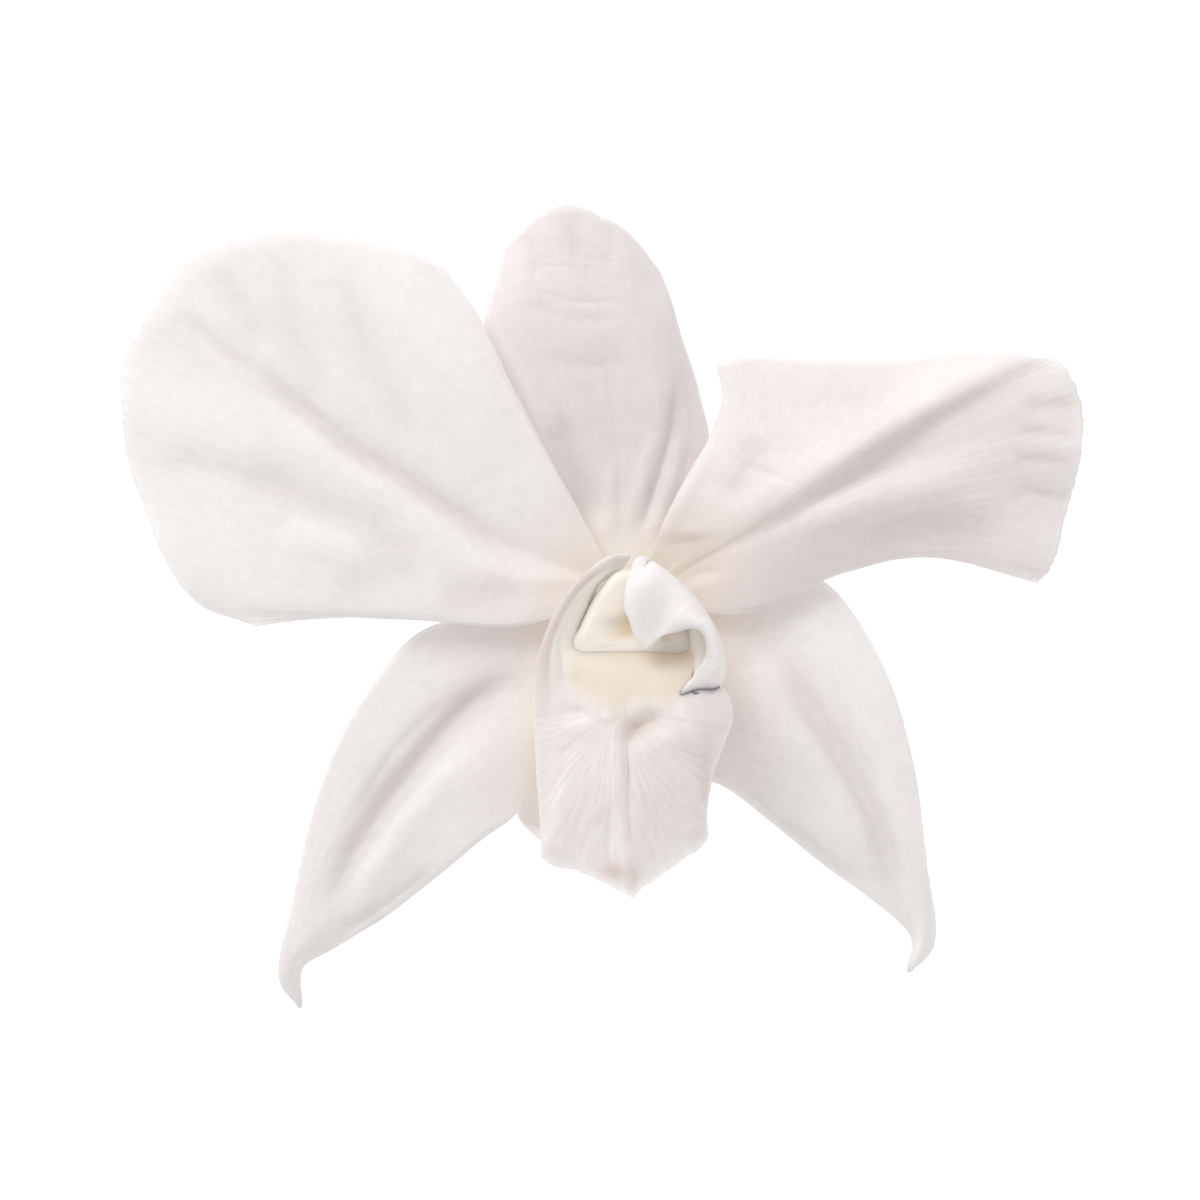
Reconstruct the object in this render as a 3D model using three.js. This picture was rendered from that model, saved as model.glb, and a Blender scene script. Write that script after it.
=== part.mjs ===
// A white dendrobium orchid bloom, picked from its spray and lying face up.
// Millimetres. +X is right and +Y is up as seen by someone who looks down on the flower, +Z points at them.
// The origin is on the surface that the bloom lies on, under the middle of its outline.

import * as THREE from 'three';
import { mergeVertices } from 'three/addons/utils/BufferGeometryUtils.js';

// Thicknesses of the blades
const PETAL_THICKNESS = 0.6;
const SEPAL_THICKNESS = 0.65;
const LIP_THICKNESS = 0.6;
const CHIN_THICKNESS = 0.7;

// The top of the ovary, which carries the sepals, petals and column
const HUB = { x: 1.8, y: 0.5, top: 10.4 };
const SEAT_GAP = 0.3;

// The ovary and its stalk, which bends back under the flower and then lies along the surface
const STALK_RADIUS = 1.1;
const STALK_SIDES = 12;
const STALK_END = { x: 0.7, y: 22 };
const OVARY_LINE = [
  [1.8, 0.5, 10.4], [1.8, 0.5, 8.6], [1.8, 0.8, 6.9], [1.7, 2.0, 4.4], [1.5, 4.5, 2.2], [1.2, 8.2, 1.06],
];
const OVARY_RADII = [2.3, 1.9, 1.5, 1.5, 1.35, STALK_RADIUS];

// The column, from the ovary to its tip, and half of its tip's outline from the top to the lower edge
const COLUMN = { length: 6.2, baseRadius: 1.8, tipX: 2.4, tipY: -0.1 };
const COLUMN_TIP = [
  [0, 2.4], [0.9, 2.3], [1.6, 1.7], [2.3, 0.7], [3.0, -0.6],
  [3.6, -1.9], [4.2, -2.8], [3.5, -3.1], [1.8, -2.9], [0, -2.9],
];

// The anther cap and the pollen bodies under it
const CAP = { x: 2.9, y: 0.3, radius: 1.25, wall: 0.5, height: 1.2 };
const POLLEN = { radius: 0.52, lobeDepth: 0.12, flatness: 0.5, lift: 0.3 };

// Small waves along the free edges of the petals
const LEFT_WAVES = { height: 0.25, count: 5, start: 0.6 };
const RIGHT_WAVES = { height: 0.2, count: 6, start: 0.7 };

// Steps across and along each sheet
const LEFT_PETAL_STEPS = [22, 16];
const RIGHT_PETAL_STEPS = [24, 16];
const DORSAL_STEPS = [14, 16];
const LATERAL_STEPS = [12, 22];
const LIP_STEPS = [54, 22];
const CHIN_STEPS = [14, 12];

// The veins of the left petal, from its upper edge to its lower edge.
// Each runs from the ovary to the outer edge, and the fifth is the midrib, which ends in a notch.
const LEFT_PETAL_VEINS = [
  [[0.3, 3.8, 10.6], [-3.2, 10.2, 11.9], [-7.0, 17.4, 12.4], [-10.0, 23.6, 12.2], [-12.7, 27.2, 11.6]],
  [[0.1, 3.4, 10.5], [-4.2, 9.8, 12.1], [-9.0, 17.0, 12.9], [-13.4, 23.6, 12.6], [-17.0, 29.0, 11.7]],
  [[-0.1, 3.0, 10.4], [-5.6, 8.2, 12.0], [-12.0, 14.8, 12.8], [-18.8, 22.4, 12.7], [-25.6, 30.1, 11.8]],
  [[-0.2, 2.8, 10.3], [-6.3, 6.6, 11.6], [-13.8, 12.4, 12.3], [-22.8, 20.0, 12.3], [-33.1, 28.0, 11.5]],
  [[-0.3, 2.6, 10.3], [-7.0, 5.0, 11.0], [-15.2, 10.3, 11.6], [-25.4, 17.6, 11.8], [-36.0, 23.9, 11.3]],
  [[-0.4, 2.4, 10.2], [-7.6, 3.8, 11.3], [-16.4, 8.4, 12.1], [-26.8, 14.8, 12.1], [-38.2, 20.2, 11.3]],
  [[-0.5, 2.2, 10.2], [-8.0, 2.6, 11.6], [-17.2, 6.2, 12.5], [-27.6, 11.2, 12.2], [-38.4, 15.0, 11.2]],
  [[-0.6, 1.8, 10.1], [-8.0, 1.0, 11.4], [-17.2, 2.6, 12.3], [-27.2, 5.6, 11.9], [-37.0, 8.8, 10.9]],
  [[-0.8, 1.2, 10.1], [-7.6, -0.2, 11.2], [-16.4, 0.1, 11.9], [-25.2, 0.6, 11.5], [-33.2, 1.2, 10.8]],
  [[-0.8, 0.6, 10.0], [-7.0, -1.4, 10.9], [-14.4, -0.9, 11.4], [-21.6, -0.7, 11.0], [-27.9, -1.4, 10.6]],
];

// The veins of the right petal in the same order. Its midrib is the fifth too, and stands up as a fold.
const RIGHT_PETAL_VEINS = [
  [[3.5, 3.5, 10.6], [6.1, 9.2, 12.6], [8.5, 13.6, 12.6], [9.6, 17.0, 11.4], [9.1, 19.4, 10.2]],
  [[3.9, 3.2, 10.5], [8.2, 8.8, 13.4], [11.6, 13.2, 13.4], [13.0, 16.8, 12.0], [12.2, 20.1, 10.2]],
  [[4.5, 2.6, 10.5], [10.4, 8.2, 14.0], [16.2, 12.8, 14.2], [20.8, 16.4, 12.6], [22.6, 19.8, 10.4]],
  [[4.5, 2.3, 10.5], [12.0, 8.1, 14.4], [18.6, 12.7, 14.9], [24.6, 16.9, 13.4], [30.2, 20.7, 11.4]],
  [[4.6, 2.0, 10.4], [13.4, 8.0, 14.6], [20.2, 12.6, 15.2], [27.0, 16.7, 14.4], [33.8, 20.2, 12.6]],
  [[4.6, 1.8, 10.4], [13.6, 7.4, 14.0], [20.7, 11.6, 14.2], [28.6, 15.8, 13.4], [36.6, 19.6, 12.4]],
  [[4.6, 1.6, 10.4], [13.4, 6.5, 13.6], [20.9, 10.4, 13.6], [29.8, 13.8, 13.2], [38.2, 16.6, 12.4]],
  [[4.6, 1.4, 10.3], [13.2, 5.4, 13.4], [21.6, 8.8, 13.9], [30.4, 11.2, 13.4], [38.3, 12.8, 12.2]],
  [[4.6, 1.2, 10.2], [12.8, 3.8, 12.8], [21.2, 6.4, 12.8], [29.6, 7.6, 12.4], [37.2, 8.0, 11.4]],
  [[4.6, 1.0, 10.1], [12.2, 2.0, 12.0], [20.2, 4.4, 11.6], [28.6, 5.0, 11.4], [36.0, 3.6, 10.6]],
  [[4.6, 0.8, 10.0], [11.6, -0.4, 10.9], [19.0, 2.8, 10.6], [26.4, 4.1, 10.8], [34.8, 2.1, 10.2]],
];

// The veins of the upper sepal, from its left edge to its right. The last two points of each bend back.
const DORSAL_SEPAL_VEINS = [
  [[0.4, 3.0, 9.2], [-4.0, 11.0, 9.8], [-8.0, 18.4, 10.2],
    [-9.5, 22.6, 9.6], [-8.4, 26.4, 8.8], [-7.8, 28.9, 7.6]],
  [[0.9, 3.0, 9.2], [-2.6, 11.4, 9.9], [-5.2, 18.8, 10.6],
    [-6.2, 23.8, 10.6], [-5.8, 28.2, 9.8], [-5.0, 31.5, 7.8]],
  [[1.4, 3.0, 9.2], [-0.8, 11.6, 9.9], [-2.4, 18.8, 10.8],
    [-3.0, 24.0, 11.0], [-2.9, 28.4, 10.2], [-2.7, 32.4, 7.9]],
  [[1.8, 3.0, 9.2], [1.0, 11.6, 9.8], [0.2, 18.8, 10.7],
    [-0.2, 24.0, 11.0], [-0.4, 28.0, 10.2], [-0.5, 31.6, 8.0]],
  [[2.2, 3.0, 9.2], [2.8, 11.4, 9.9], [2.8, 18.4, 10.8],
    [2.4, 23.6, 11.0], [1.8, 27.4, 10.2], [1.6, 30.6, 8.0]],
  [[2.7, 3.0, 9.2], [4.8, 11.2, 9.9], [5.2, 17.8, 10.6],
    [4.6, 22.4, 10.4], [3.8, 25.6, 9.6], [3.2, 28.9, 8.0]],
  [[3.2, 3.0, 9.2], [8.2, 12.0, 9.4], [7.8, 17.0, 9.6],
    [6.3, 21.8, 8.8], [5.4, 25.0, 8.2], [4.4, 27.2, 7.4]],
];

// The veins of the lower left sepal, from its outer edge to its inner edge. The third is the channel.
const LEFT_SEPAL_VEINS = [
  [[-0.4, 1.1, 8.6], [-8.0, -0.4, 9.0], [-14.6, -1.8, 9.0], [-19.8, -7.8, 8.2],
    [-23.0, -15.0, 6.6], [-25.0, -23.8, 4.4], [-26.1, -29.4, 2.0], [-24.7, -32.0, 0.6]],
  [[-1.8, -3.6, 8.4], [-7.4, -4.0, 8.4], [-13.0, -5.8, 8.6], [-17.8, -10.6, 8.0],
    [-21.4, -17.2, 6.5], [-24.3, -24.8, 4.5], [-25.7, -29.2, 2.3], [-24.6, -32.1, 0.5]],
  [[-3.2, -6.8, 8.0], [-7.6, -7.8, 7.8], [-11.8, -9.8, 8.0], [-16.0, -13.8, 7.4],
    [-19.8, -19.4, 6.1], [-23.2, -25.6, 4.5], [-25.2, -29.0, 2.5], [-24.5, -32.2, 0.45]],
  [[-4.4, -10.4, 7.6], [-7.4, -11.6, 8.0], [-10.8, -13.6, 8.2], [-14.4, -17.4, 7.4],
    [-18.2, -21.8, 5.9], [-22.3, -26.2, 4.1], [-24.8, -29.0, 2.1], [-24.4, -32.2, 0.4]],
  [[-5.6, -14.2, 7.0], [-7.2, -16.6, 7.2], [-9.8, -18.6, 7.2], [-13.5, -21.7, 6.4],
    [-17.6, -24.9, 4.6], [-21.6, -27.3, 3.2], [-24.3, -28.9, 1.6], [-24.3, -32.2, 0.4]],
];

// The veins of the lower right sepal in the same order
const RIGHT_SEPAL_VEINS = [
  [[4.2, 0.5, 8.6], [10.6, 1.6, 9.0], [17.4, 2.4, 9.0], [22.3, -4.1, 8.2],
    [24.9, -12.0, 6.6], [26.1, -20.4, 4.4], [26.8, -26.6, 2.0], [25.0, -29.2, 0.6]],
  [[4.8, -3.2, 8.4], [10.2, -2.0, 8.4], [15.6, -1.6, 8.7], [20.6, -7.2, 8.0],
    [23.4, -13.8, 6.5], [25.4, -21.0, 4.5], [26.4, -26.4, 2.3], [24.9, -29.3, 0.5]],
  [[4.8, -6.0, 8.0], [9.8, -5.2, 7.8], [14.0, -4.6, 8.0], [18.4, -9.2, 7.4],
    [21.6, -15.4, 6.1], [24.4, -21.8, 4.5], [25.9, -26.2, 2.5], [24.8, -29.3, 0.45]],
  [[4.8, -9.2, 7.7], [8.8, -9.2, 8.0], [12.6, -9.6, 8.2], [16.4, -13.0, 7.4],
    [19.9, -18.0, 5.9], [23.4, -22.8, 4.1], [25.5, -26.2, 2.1], [24.7, -29.3, 0.4]],
  [[4.3, -13.0, 7.3], [7.0, -13.4, 7.2], [10.0, -14.4, 7.3], [14.0, -17.5, 6.5],
    [17.9, -20.7, 4.6], [22.2, -23.8, 3.2], [24.9, -26.4, 1.6], [24.6, -29.3, 0.4]],
];

// The free edge of the lip, from the back of its left side lobe, round the middle lobe
// to the back of the right one
const LIP_EDGE = [
  [2.2, 4.4, 15.6], [0.2, 4.0, 17.2], [-2.6, 1.6, 17.8], [-4.7, -2.4, 17.8], [-5.5, -6.5, 17.2],
  [-5.3, -12.0, 15.8], [-4.9, -18.2, 13.2], [-4.5, -20.2, 12.6], [-1.8, -21.0, 12.5], [1.2, -22.4, 13.0],
  [2.4, -23.0, 13.3], [3.3, -22.2, 13.0], [6.2, -20.2, 12.4], [8.3, -18.5, 12.8], [8.3, -16.4, 13.9],
  [8.9, -12.8, 15.8], [10.3, -8.7, 17.2], [9.6, -6.3, 18.1], [8.0, -6.4, 18.3], [6.2, -6.8, 18.5],
  [7.2, -5.2, 19.1], [8.3, -3.1, 19.8], [7.4, -1.3, 20.2], [4.6, -2.2, 20.0], [3.2, -3.1, 19.2],
  [1.7, 0.6, 20.0], [2.8, 4.1, 18.4], [4.4, 3.0, 15.2],
];

// The rim of the lip's mouth, met by the same veins
const LIP_RIM = [
  [1.4, 3.4, 14.2], [-0.2, 2.6, 16.4], [-2.0, 0.9, 17.3], [-3.5, -2.1, 17.4], [-3.3, -4.9, 17.0],
  [-2.4, -6.2, 17.0], [-1.5, -6.8, 17.4], [-0.6, -7.2, 17.7], [0.3, -7.5, 18.0], [1.3, -7.7, 18.2],
  [2.0, -7.6, 18.2], [2.7, -7.4, 18.2], [3.8, -7.3, 18.2], [4.9, -7.2, 18.3], [5.5, -7.1, 18.3],
  [6.1, -7.0, 18.3], [6.9, -6.8, 18.3], [7.4, -6.5, 18.2], [7.3, -6.3, 18.2], [7.6, -6.0, 18.1],
  [8.8, -6.1, 17.7], [9.4, -4.5, 17.8], [8.9, -2.0, 17.6], [7.6, 0.2, 17.8], [5.9, 2.0, 18.0],
  [4.3, 3.3, 18.2], [4.3, 3.2, 16.0], [5.5, 1.7, 13.8],
];

// The throat round the tip of the column, met by the same veins
const LIP_THROAT = [
  [-0.6, 1.8, 13.6], [-0.8, 1.5, 15.1], [-1.4, 0.3, 15.8], [-2.3, -1.7, 16.0], [-2.5, -3.0, 16.2],
  [-1.6, -3.6, 16.3], [-0.8, -3.6, 16.3], [-0.1, -3.6, 16.3], [0.6, -3.6, 16.3], [1.3, -3.6, 16.3],
  [2.0, -3.6, 16.3], [2.7, -3.6, 16.3], [3.4, -3.6, 16.3], [4.1, -3.65, 16.3], [4.7, -3.7, 16.3],
  [5.3, -3.75, 16.3], [6.0, -3.75, 16.3], [6.9, -3.6, 16.4], [7.3, -3.2, 16.6], [7.4, -2.8, 16.8],
  [7.5, -2.2, 16.9], [7.5, -1.5, 16.7], [7.3, -0.6, 15.7], [7.0, 0.0, 14.8], [6.6, 0.4, 13.9],
  [6.1, 0.8, 13.3], [5.7, 1.1, 12.9], [5.5, 1.1, 12.7],
];

// Where each of those veins leaves the neck below the throat, in degrees from its floor, and how far
// and how high it arches between the rim and the free edge
const LIP_VEIN_ANGLE = [
  -63, -59, -50, -40, -31, -23, -19, -15, -7, -3, 0, 3, 8, 13, 16, 18, 23, 27, 29, 31, 34, 38, 44, 50,
  54, 58, 62, 63,
];
const LIP_VEIN_SHARE = [
  0.5, 0.5, 0.5, 0.5, 0.5, 0.5, 0.5, 0.5, 0.5, 0.5, 0.5, 0.5, 0.5, 0.5, 0.5, 0.5, 0.5, 0.5, 0.5, 0.5,
  0.3, 0.25, 0.25, 0.3, 0.3, 0.35, 0.4, 0.5,
];
const LIP_VEIN_RISE = [
  0, 0.2, 0.4, 0.4, 0.3, 0.7, 1.3, 1.7, 1.9, 1.8, 1.7, 1.8, 1.9, 1.7, 1.35, 1.0, 0.5, 0.3, 0.1, 0,
  0.8, 1.9, 2.0, 1.9, 1.6, 1.3, 0.6, 0,
];

// The claw of the lip, and the ring of its neck above that
const LIP_CLAW = { x: 1.0, y: -7.0, z: 6.8, halfWidth: 1.3 };
const LIP_NECK = { x: 1.8, y: -0.1, radius: 3.3, z: 9.8 };

// The chin under the lip: the middle line of its floor, its half-width, and how deep it is below its rim
const CHIN_LINE = [
  [1.6, -1.9, 6.9], [1.0, -6.0, 5.6], [0.0, -11.0, 4.4], [-1.8, -16.0, 3.4], [-2.2, -19.6, 3.6],
];
const CHIN_HALF_WIDTH = [2.2, 3.0, 4.0, 4.9, 1.2];
const CHIN_DEPTH = [0.8, 1.6, 2.5, 2.6, 1.2];

// Colours: petals, the greener throat and stalk, and the cream column
const PETAL_COLOUR = 0xf3f0ee;
const LIP_COLOUR = 0xf4f1ea;
const CREAM_COLOUR = 0xf0ecd6;
const STALK_COLOUR = 0xdfe3bd;
const POLLEN_COLOUR = 0xe8cf6a;

const radians = THREE.MathUtils.degToRad;

// Smooth line through values that are evenly spaced from 0 to 1. A value is a number or a list of numbers.
function smooth(before, from, to, after, share) {
  const slopeFrom = (to - before) / 2;
  const slopeTo = (after - from) / 2;
  const bend = 3 * (to - from) - 2 * slopeFrom - slopeTo;
  const twist = 2 * (from - to) + slopeFrom + slopeTo;
  return from + share * (slopeFrom + share * (bend + share * twist));
}

function through(values, place) {
  const last = values.length - 1;
  const scaled = Math.min(Math.max(place, 0), 1) * last;
  const index = Math.min(Math.floor(scaled), last - 1);
  const share = scaled - index;
  const from = values[index];
  const to = values[index + 1];
  if (typeof from === 'number') {
    const before = index > 0 ? values[index - 1] : 2 * from - to;
    const after = index + 2 <= last ? values[index + 2] : 2 * to - from;
    return smooth(before, from, to, after, share);
  }
  return from.map((_, axis) => {
    const before = index > 0 ? values[index - 1][axis] : 2 * from[axis] - to[axis];
    const after = index + 2 <= last ? values[index + 2][axis] : 2 * to[axis] - from[axis];
    return smooth(before, from[axis], to[axis], after, share);
  });
}

// A blade's middle surface, from its veins: across goes from vein to vein, outward along them
function veinSurface(veins) {
  return (across, outward) => through(veins.map((vein) => through(vein, outward)), across);
}

// Small waves along a petal's free edge
function withWaves(surface, { height, count, start }) {
  return (across, outward) => {
    const [x, y, z] = surface(across, outward);
    const reach = Math.max(0, (outward - start) / (1 - start));
    const wave = height * reach * reach * Math.sin(2 * Math.PI * count * across);
    return [x, y, z + wave];
  };
}

// A closed blade round a middle surface, split into the same triangles on both faces
function blade(surface, thickness, [acrossSteps, outwardSteps]) {
  const columns = acrossSteps + 1;
  const rows = outwardSteps + 1;
  const grid = [];
  for (let row = 0; row < rows; row += 1) {
    for (let column = 0; column < columns; column += 1) {
      grid.push(new THREE.Vector3(...surface(column / acrossSteps, row / outwardSteps)));
    }
  }
  const at = (column, row) => grid[
    THREE.MathUtils.clamp(row, 0, outwardSteps) * columns + THREE.MathUtils.clamp(column, 0, acrossSteps)
  ];
  const upper = [];
  const lower = [];
  for (let row = 0; row < rows; row += 1) {
    for (let column = 0; column < columns; column += 1) {
      const alongAcross = at(column + 1, row).clone().sub(at(column - 1, row));
      const alongOutward = at(column, row + 1).clone().sub(at(column, row - 1));
      const normal = alongAcross.cross(alongOutward).normalize().multiplyScalar(thickness / 2);
      upper.push(at(column, row).clone().add(normal));
      lower.push(at(column, row).clone().sub(normal));
    }
  }
  const count = columns * rows;
  const faces = [];
  for (let row = 0; row < outwardSteps; row += 1) {
    for (let column = 0; column < acrossSteps; column += 1) {
      const a = row * columns + column;
      const b = a + 1;
      const c = a + columns;
      const d = c + 1;
      faces.push([a, b, d], [a, d, c]);
      faces.push([count + a, count + d, count + b], [count + a, count + c, count + d]);
    }
  }
  rimOf(columns, rows).forEach(([from, to]) => {
    faces.push([from, count + from, count + to], [from, count + to, to]);
  });
  return closedGeometry([...upper, ...lower], faces);
}

// The border of a grid as pairs of neighbouring points, in the direction that faces the rim outward
function rimOf(columns, rows) {
  const border = [];
  for (let column = 0; column < columns - 1; column += 1) border.push(column);
  for (let row = 0; row < rows - 1; row += 1) border.push(row * columns + columns - 1);
  for (let column = columns - 1; column > 0; column -= 1) border.push((rows - 1) * columns + column);
  for (let row = rows - 1; row > 0; row -= 1) border.push(row * columns);
  return border.map((from, index) => [from, border[(index + 1) % border.length]]);
}

// A solid through rings of points, closed by a flat fan at each end
function loft(rings) {
  const sides = rings[0].length;
  const points = rings.flat();
  const faces = [];
  for (let ring = 0; ring < rings.length - 1; ring += 1) {
    for (let side = 0; side < sides; side += 1) {
      const next = (side + 1) % sides;
      const a = ring * sides + side;
      const b = ring * sides + next;
      faces.push([a, b, b + sides], [a, b + sides, a + sides]);
    }
  }
  const middleOf = (ring) => ring.reduce((sum, point) => sum.add(point), new THREE.Vector3())
    .divideScalar(sides);
  const first = points.push(middleOf(rings[0])) - 1;
  const last = points.push(middleOf(rings[rings.length - 1])) - 1;
  const start = (rings.length - 1) * sides;
  for (let side = 0; side < sides; side += 1) {
    const next = (side + 1) % sides;
    faces.push([first, next, side], [last, start + side, start + next]);
  }
  return closedGeometry(points, faces);
}

// A geometry whose faces point out, whichever way round they were listed
function closedGeometry(points, faces) {
  let volume = 0;
  faces.forEach(([a, b, c]) => {
    volume += points[a].dot(points[b].clone().cross(points[c]));
  });
  const ordered = volume > 0 ? faces : faces.map(([a, b, c]) => [a, c, b]);
  const geometry = new THREE.BufferGeometry();
  geometry.setAttribute('position', new THREE.Float32BufferAttribute(points.flatMap((p) => p.toArray()), 3));
  geometry.setIndex(ordered.flat());
  geometry.computeVertexNormals();
  return geometry;
}

function leftPetal() {
  return blade(withWaves(veinSurface(LEFT_PETAL_VEINS), LEFT_WAVES), PETAL_THICKNESS, LEFT_PETAL_STEPS);
}

function rightPetal() {
  return blade(withWaves(veinSurface(RIGHT_PETAL_VEINS), RIGHT_WAVES), PETAL_THICKNESS, RIGHT_PETAL_STEPS);
}

function dorsalSepal() {
  return blade(veinSurface(DORSAL_SEPAL_VEINS), SEPAL_THICKNESS, DORSAL_STEPS);
}

function lateralSepal(veins) {
  return blade(veinSurface(veins), SEPAL_THICKNESS, LATERAL_STEPS);
}

// A point of the lip's neck, where the vein at this place across the lip passes it
function neckPoint(across) {
  const turn = radians(through(LIP_VEIN_ANGLE, across));
  const x = LIP_NECK.x + LIP_NECK.radius * Math.sin(turn);
  const y = LIP_NECK.y - LIP_NECK.radius * Math.cos(turn);
  return [x, y, LIP_NECK.z];
}

// The lip is one sheet: a claw on the chin's floor, a throat with two side lobes, and the middle lobe
function lipSurface(across, outward) {
  const claw = [LIP_CLAW.x + LIP_CLAW.halfWidth * (2 * across - 1), LIP_CLAW.y, LIP_CLAW.z];
  const throat = through(LIP_THROAT, across);
  const rim = through(LIP_RIM, across);
  const edge = through(LIP_EDGE, across);
  const share = through(LIP_VEIN_SHARE, across);
  const arch = rim.map((value, axis) => value + share * (edge[axis] - value));
  arch[2] += through(LIP_VEIN_RISE, across);
  return through([claw, neckPoint(across), throat, rim, arch, edge], outward);
}

function lip() {
  return blade(lipSurface, LIP_THICKNESS, LIP_STEPS);
}

// The chin is a scoop, open towards the lip, with a blunt end
function chinSurface(across, outward) {
  const [x, y, z] = through(CHIN_LINE, outward);
  const halfWidth = through(CHIN_HALF_WIDTH, outward);
  const depth = through(CHIN_DEPTH, outward);
  const turn = radians(90) * (2 * across - 1);
  return [x + halfWidth * Math.sin(turn), y, z + depth * (1 - Math.cos(turn))];
}

function chin() {
  return blade(chinSurface, CHIN_THICKNESS, CHIN_STEPS);
}

// The column widens from a round base into a tip with a wing at each lower corner
function column() {
  const sides = 24;
  const steps = 8;
  const rings = [];
  for (let step = 0; step <= steps; step += 1) {
    const share = step / steps;
    const ring = [];
    for (let side = 0; side < sides; side += 1) {
      const turn = 2 * Math.PI * side / sides;
      const half = through(COLUMN_TIP, 1 - Math.abs(1 - 2 * side / sides));
      const facing = side <= sides / 2 ? 1 : -1;
      const baseX = HUB.x + COLUMN.baseRadius * Math.sin(turn);
      const baseY = HUB.y + COLUMN.baseRadius * Math.cos(turn);
      const tipX = COLUMN.tipX + facing * half[0];
      const tipY = COLUMN.tipY + half[1];
      ring.push(new THREE.Vector3(
        baseX + share * (tipX - baseX),
        baseY + share * (tipY - baseY),
        HUB.top + SEAT_GAP + share * COLUMN.length,
      ));
    }
    rings.push(ring);
  }
  return loft(rings);
}

// Points of a quarter of an ellipse from its rim to its top
function quarter(radius, height) {
  const steps = 6;
  const points = [];
  for (let step = 0; step < steps; step += 1) {
    const turn = radians(90) * step / steps;
    points.push(new THREE.Vector2(radius * Math.cos(turn), height * Math.sin(turn)));
  }
  points.push(new THREE.Vector2(0, height));
  return points;
}

// The anther cap: a small dome with an open hollow under it
function antherCap() {
  const outside = quarter(CAP.radius, CAP.height);
  const inside = quarter(CAP.radius - CAP.wall, CAP.height - CAP.wall);
  return lathe([...inside.reverse(), ...outside], 14);
}

// Four pollen bodies pressed together, as one lobed body
function pollinia() {
  const sides = 16;
  const steps = 8;
  const rings = [];
  for (let step = 1; step < steps; step += 1) {
    const lift = Math.PI * (step / steps - 0.5);
    const ring = [];
    for (let side = 0; side < sides; side += 1) {
      const turn = 2 * Math.PI * side / sides;
      const lobes = 1 - POLLEN.lobeDepth * (1 - Math.abs(Math.sin(2 * turn)));
      const radius = POLLEN.radius * Math.cos(lift) * lobes;
      ring.push(new THREE.Vector3(
        radius * Math.cos(turn),
        radius * Math.sin(turn),
        POLLEN.flatness * POLLEN.radius * Math.sin(lift),
      ));
    }
    rings.push(ring);
  }
  return loft(rings);
}

// A LatheGeometry turned so that its axis is +Z, as a closed solid
function lathe(profile, sides) {
  const geometry = new THREE.LatheGeometry(profile, sides);
  geometry.rotateX(radians(90));
  geometry.deleteAttribute('normal');
  geometry.deleteAttribute('uv');
  const merged = mergeVertices(geometry, 1e-4);
  const position = merged.getAttribute('position');
  const points = [];
  for (let index = 0; index < position.count; index += 1) {
    points.push(new THREE.Vector3().fromBufferAttribute(position, index));
  }
  const order = Array.from(merged.getIndex().array);
  const faces = [];
  for (let index = 0; index < order.length; index += 3) {
    const [a, b, c] = order.slice(index, index + 3);
    if (a !== b && b !== c && c !== a) faces.push([a, b, c]);
  }
  return closedGeometry(points, faces);
}

// The ovary and its stalk, bent back and then lying along the surface on a flat side
function stalk() {
  const axisHeight = STALK_RADIUS * Math.cos(Math.PI / STALK_SIDES);
  const line = OVARY_LINE.map((point) => [...point]);
  line[line.length - 1][2] = axisHeight;
  const bentSteps = 14;
  const centres = [];
  const widths = [];
  for (let step = 0; step <= bentSteps; step += 1) {
    centres.push(new THREE.Vector3(...through(line, step / bentSteps)));
    widths.push(through(OVARY_RADII, step / bentSteps));
  }
  centres.push(new THREE.Vector3(STALK_END.x, STALK_END.y, axisHeight));
  widths.push(STALK_RADIUS);
  const rings = centres.map((centre, index) => {
    const before = centres[Math.max(index - 1, 0)];
    const after = centres[Math.min(index + 1, centres.length - 1)];
    const lying = index >= bentSteps;
    const ahead = lying ? new THREE.Vector3(0, 1, 0) : after.clone().sub(before).normalize();
    const side = new THREE.Vector3(1, 0, 0);
    const up = side.clone().cross(ahead).normalize();
    const across = ahead.clone().cross(up).normalize();
    const ring = [];
    for (let corner = 0; corner < STALK_SIDES; corner += 1) {
      const turn = 2 * Math.PI * (corner + 0.5) / STALK_SIDES;
      const width = widths[index];
      ring.push(centre.clone().addScaledVector(across, width * Math.cos(turn))
        .addScaledVector(up, width * Math.sin(turn)));
    }
    return ring;
  });
  return loft(rings);
}

function material(colour, roughness) {
  return new THREE.MeshStandardMaterial({ color: colour, roughness, metalness: 0, side: THREE.DoubleSide });
}

const petalSurface = material(PETAL_COLOUR, 0.6);
const lipMaterial = material(LIP_COLOUR, 0.55);
const cream = material(CREAM_COLOUR, 0.45);
const green = material(STALK_COLOUR, 0.55);
const pollen = material(POLLEN_COLOUR, 0.5);

const bloom = new THREE.Group();

function add(name, geometry, look) {
  const mesh = new THREE.Mesh(geometry, look);
  mesh.name = name;
  bloom.add(mesh);
  return mesh;
}

add('petal_left', leftPetal(), petalSurface);
add('petal_right', rightPetal(), petalSurface);
add('dorsal_sepal', dorsalSepal(), petalSurface);
add('lateral_sepal_left', lateralSepal(LEFT_SEPAL_VEINS), petalSurface);
add('lateral_sepal_right', lateralSepal(RIGHT_SEPAL_VEINS), petalSurface);
add('lip', lip(), lipMaterial);
add('chin', chin(), green);
add('column', column(), cream);

const columnTip = HUB.top + SEAT_GAP + COLUMN.length;
const cap = add('anther_cap', antherCap(), cream);
cap.position.set(CAP.x, CAP.y, columnTip + SEAT_GAP);
const pollenBodies = add('pollinia', pollinia(), pollen);
pollenBodies.position.set(CAP.x, CAP.y, columnTip + SEAT_GAP + POLLEN.lift);
add('ovary_pedicel', stalk(), green);

export default bloom;
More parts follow.
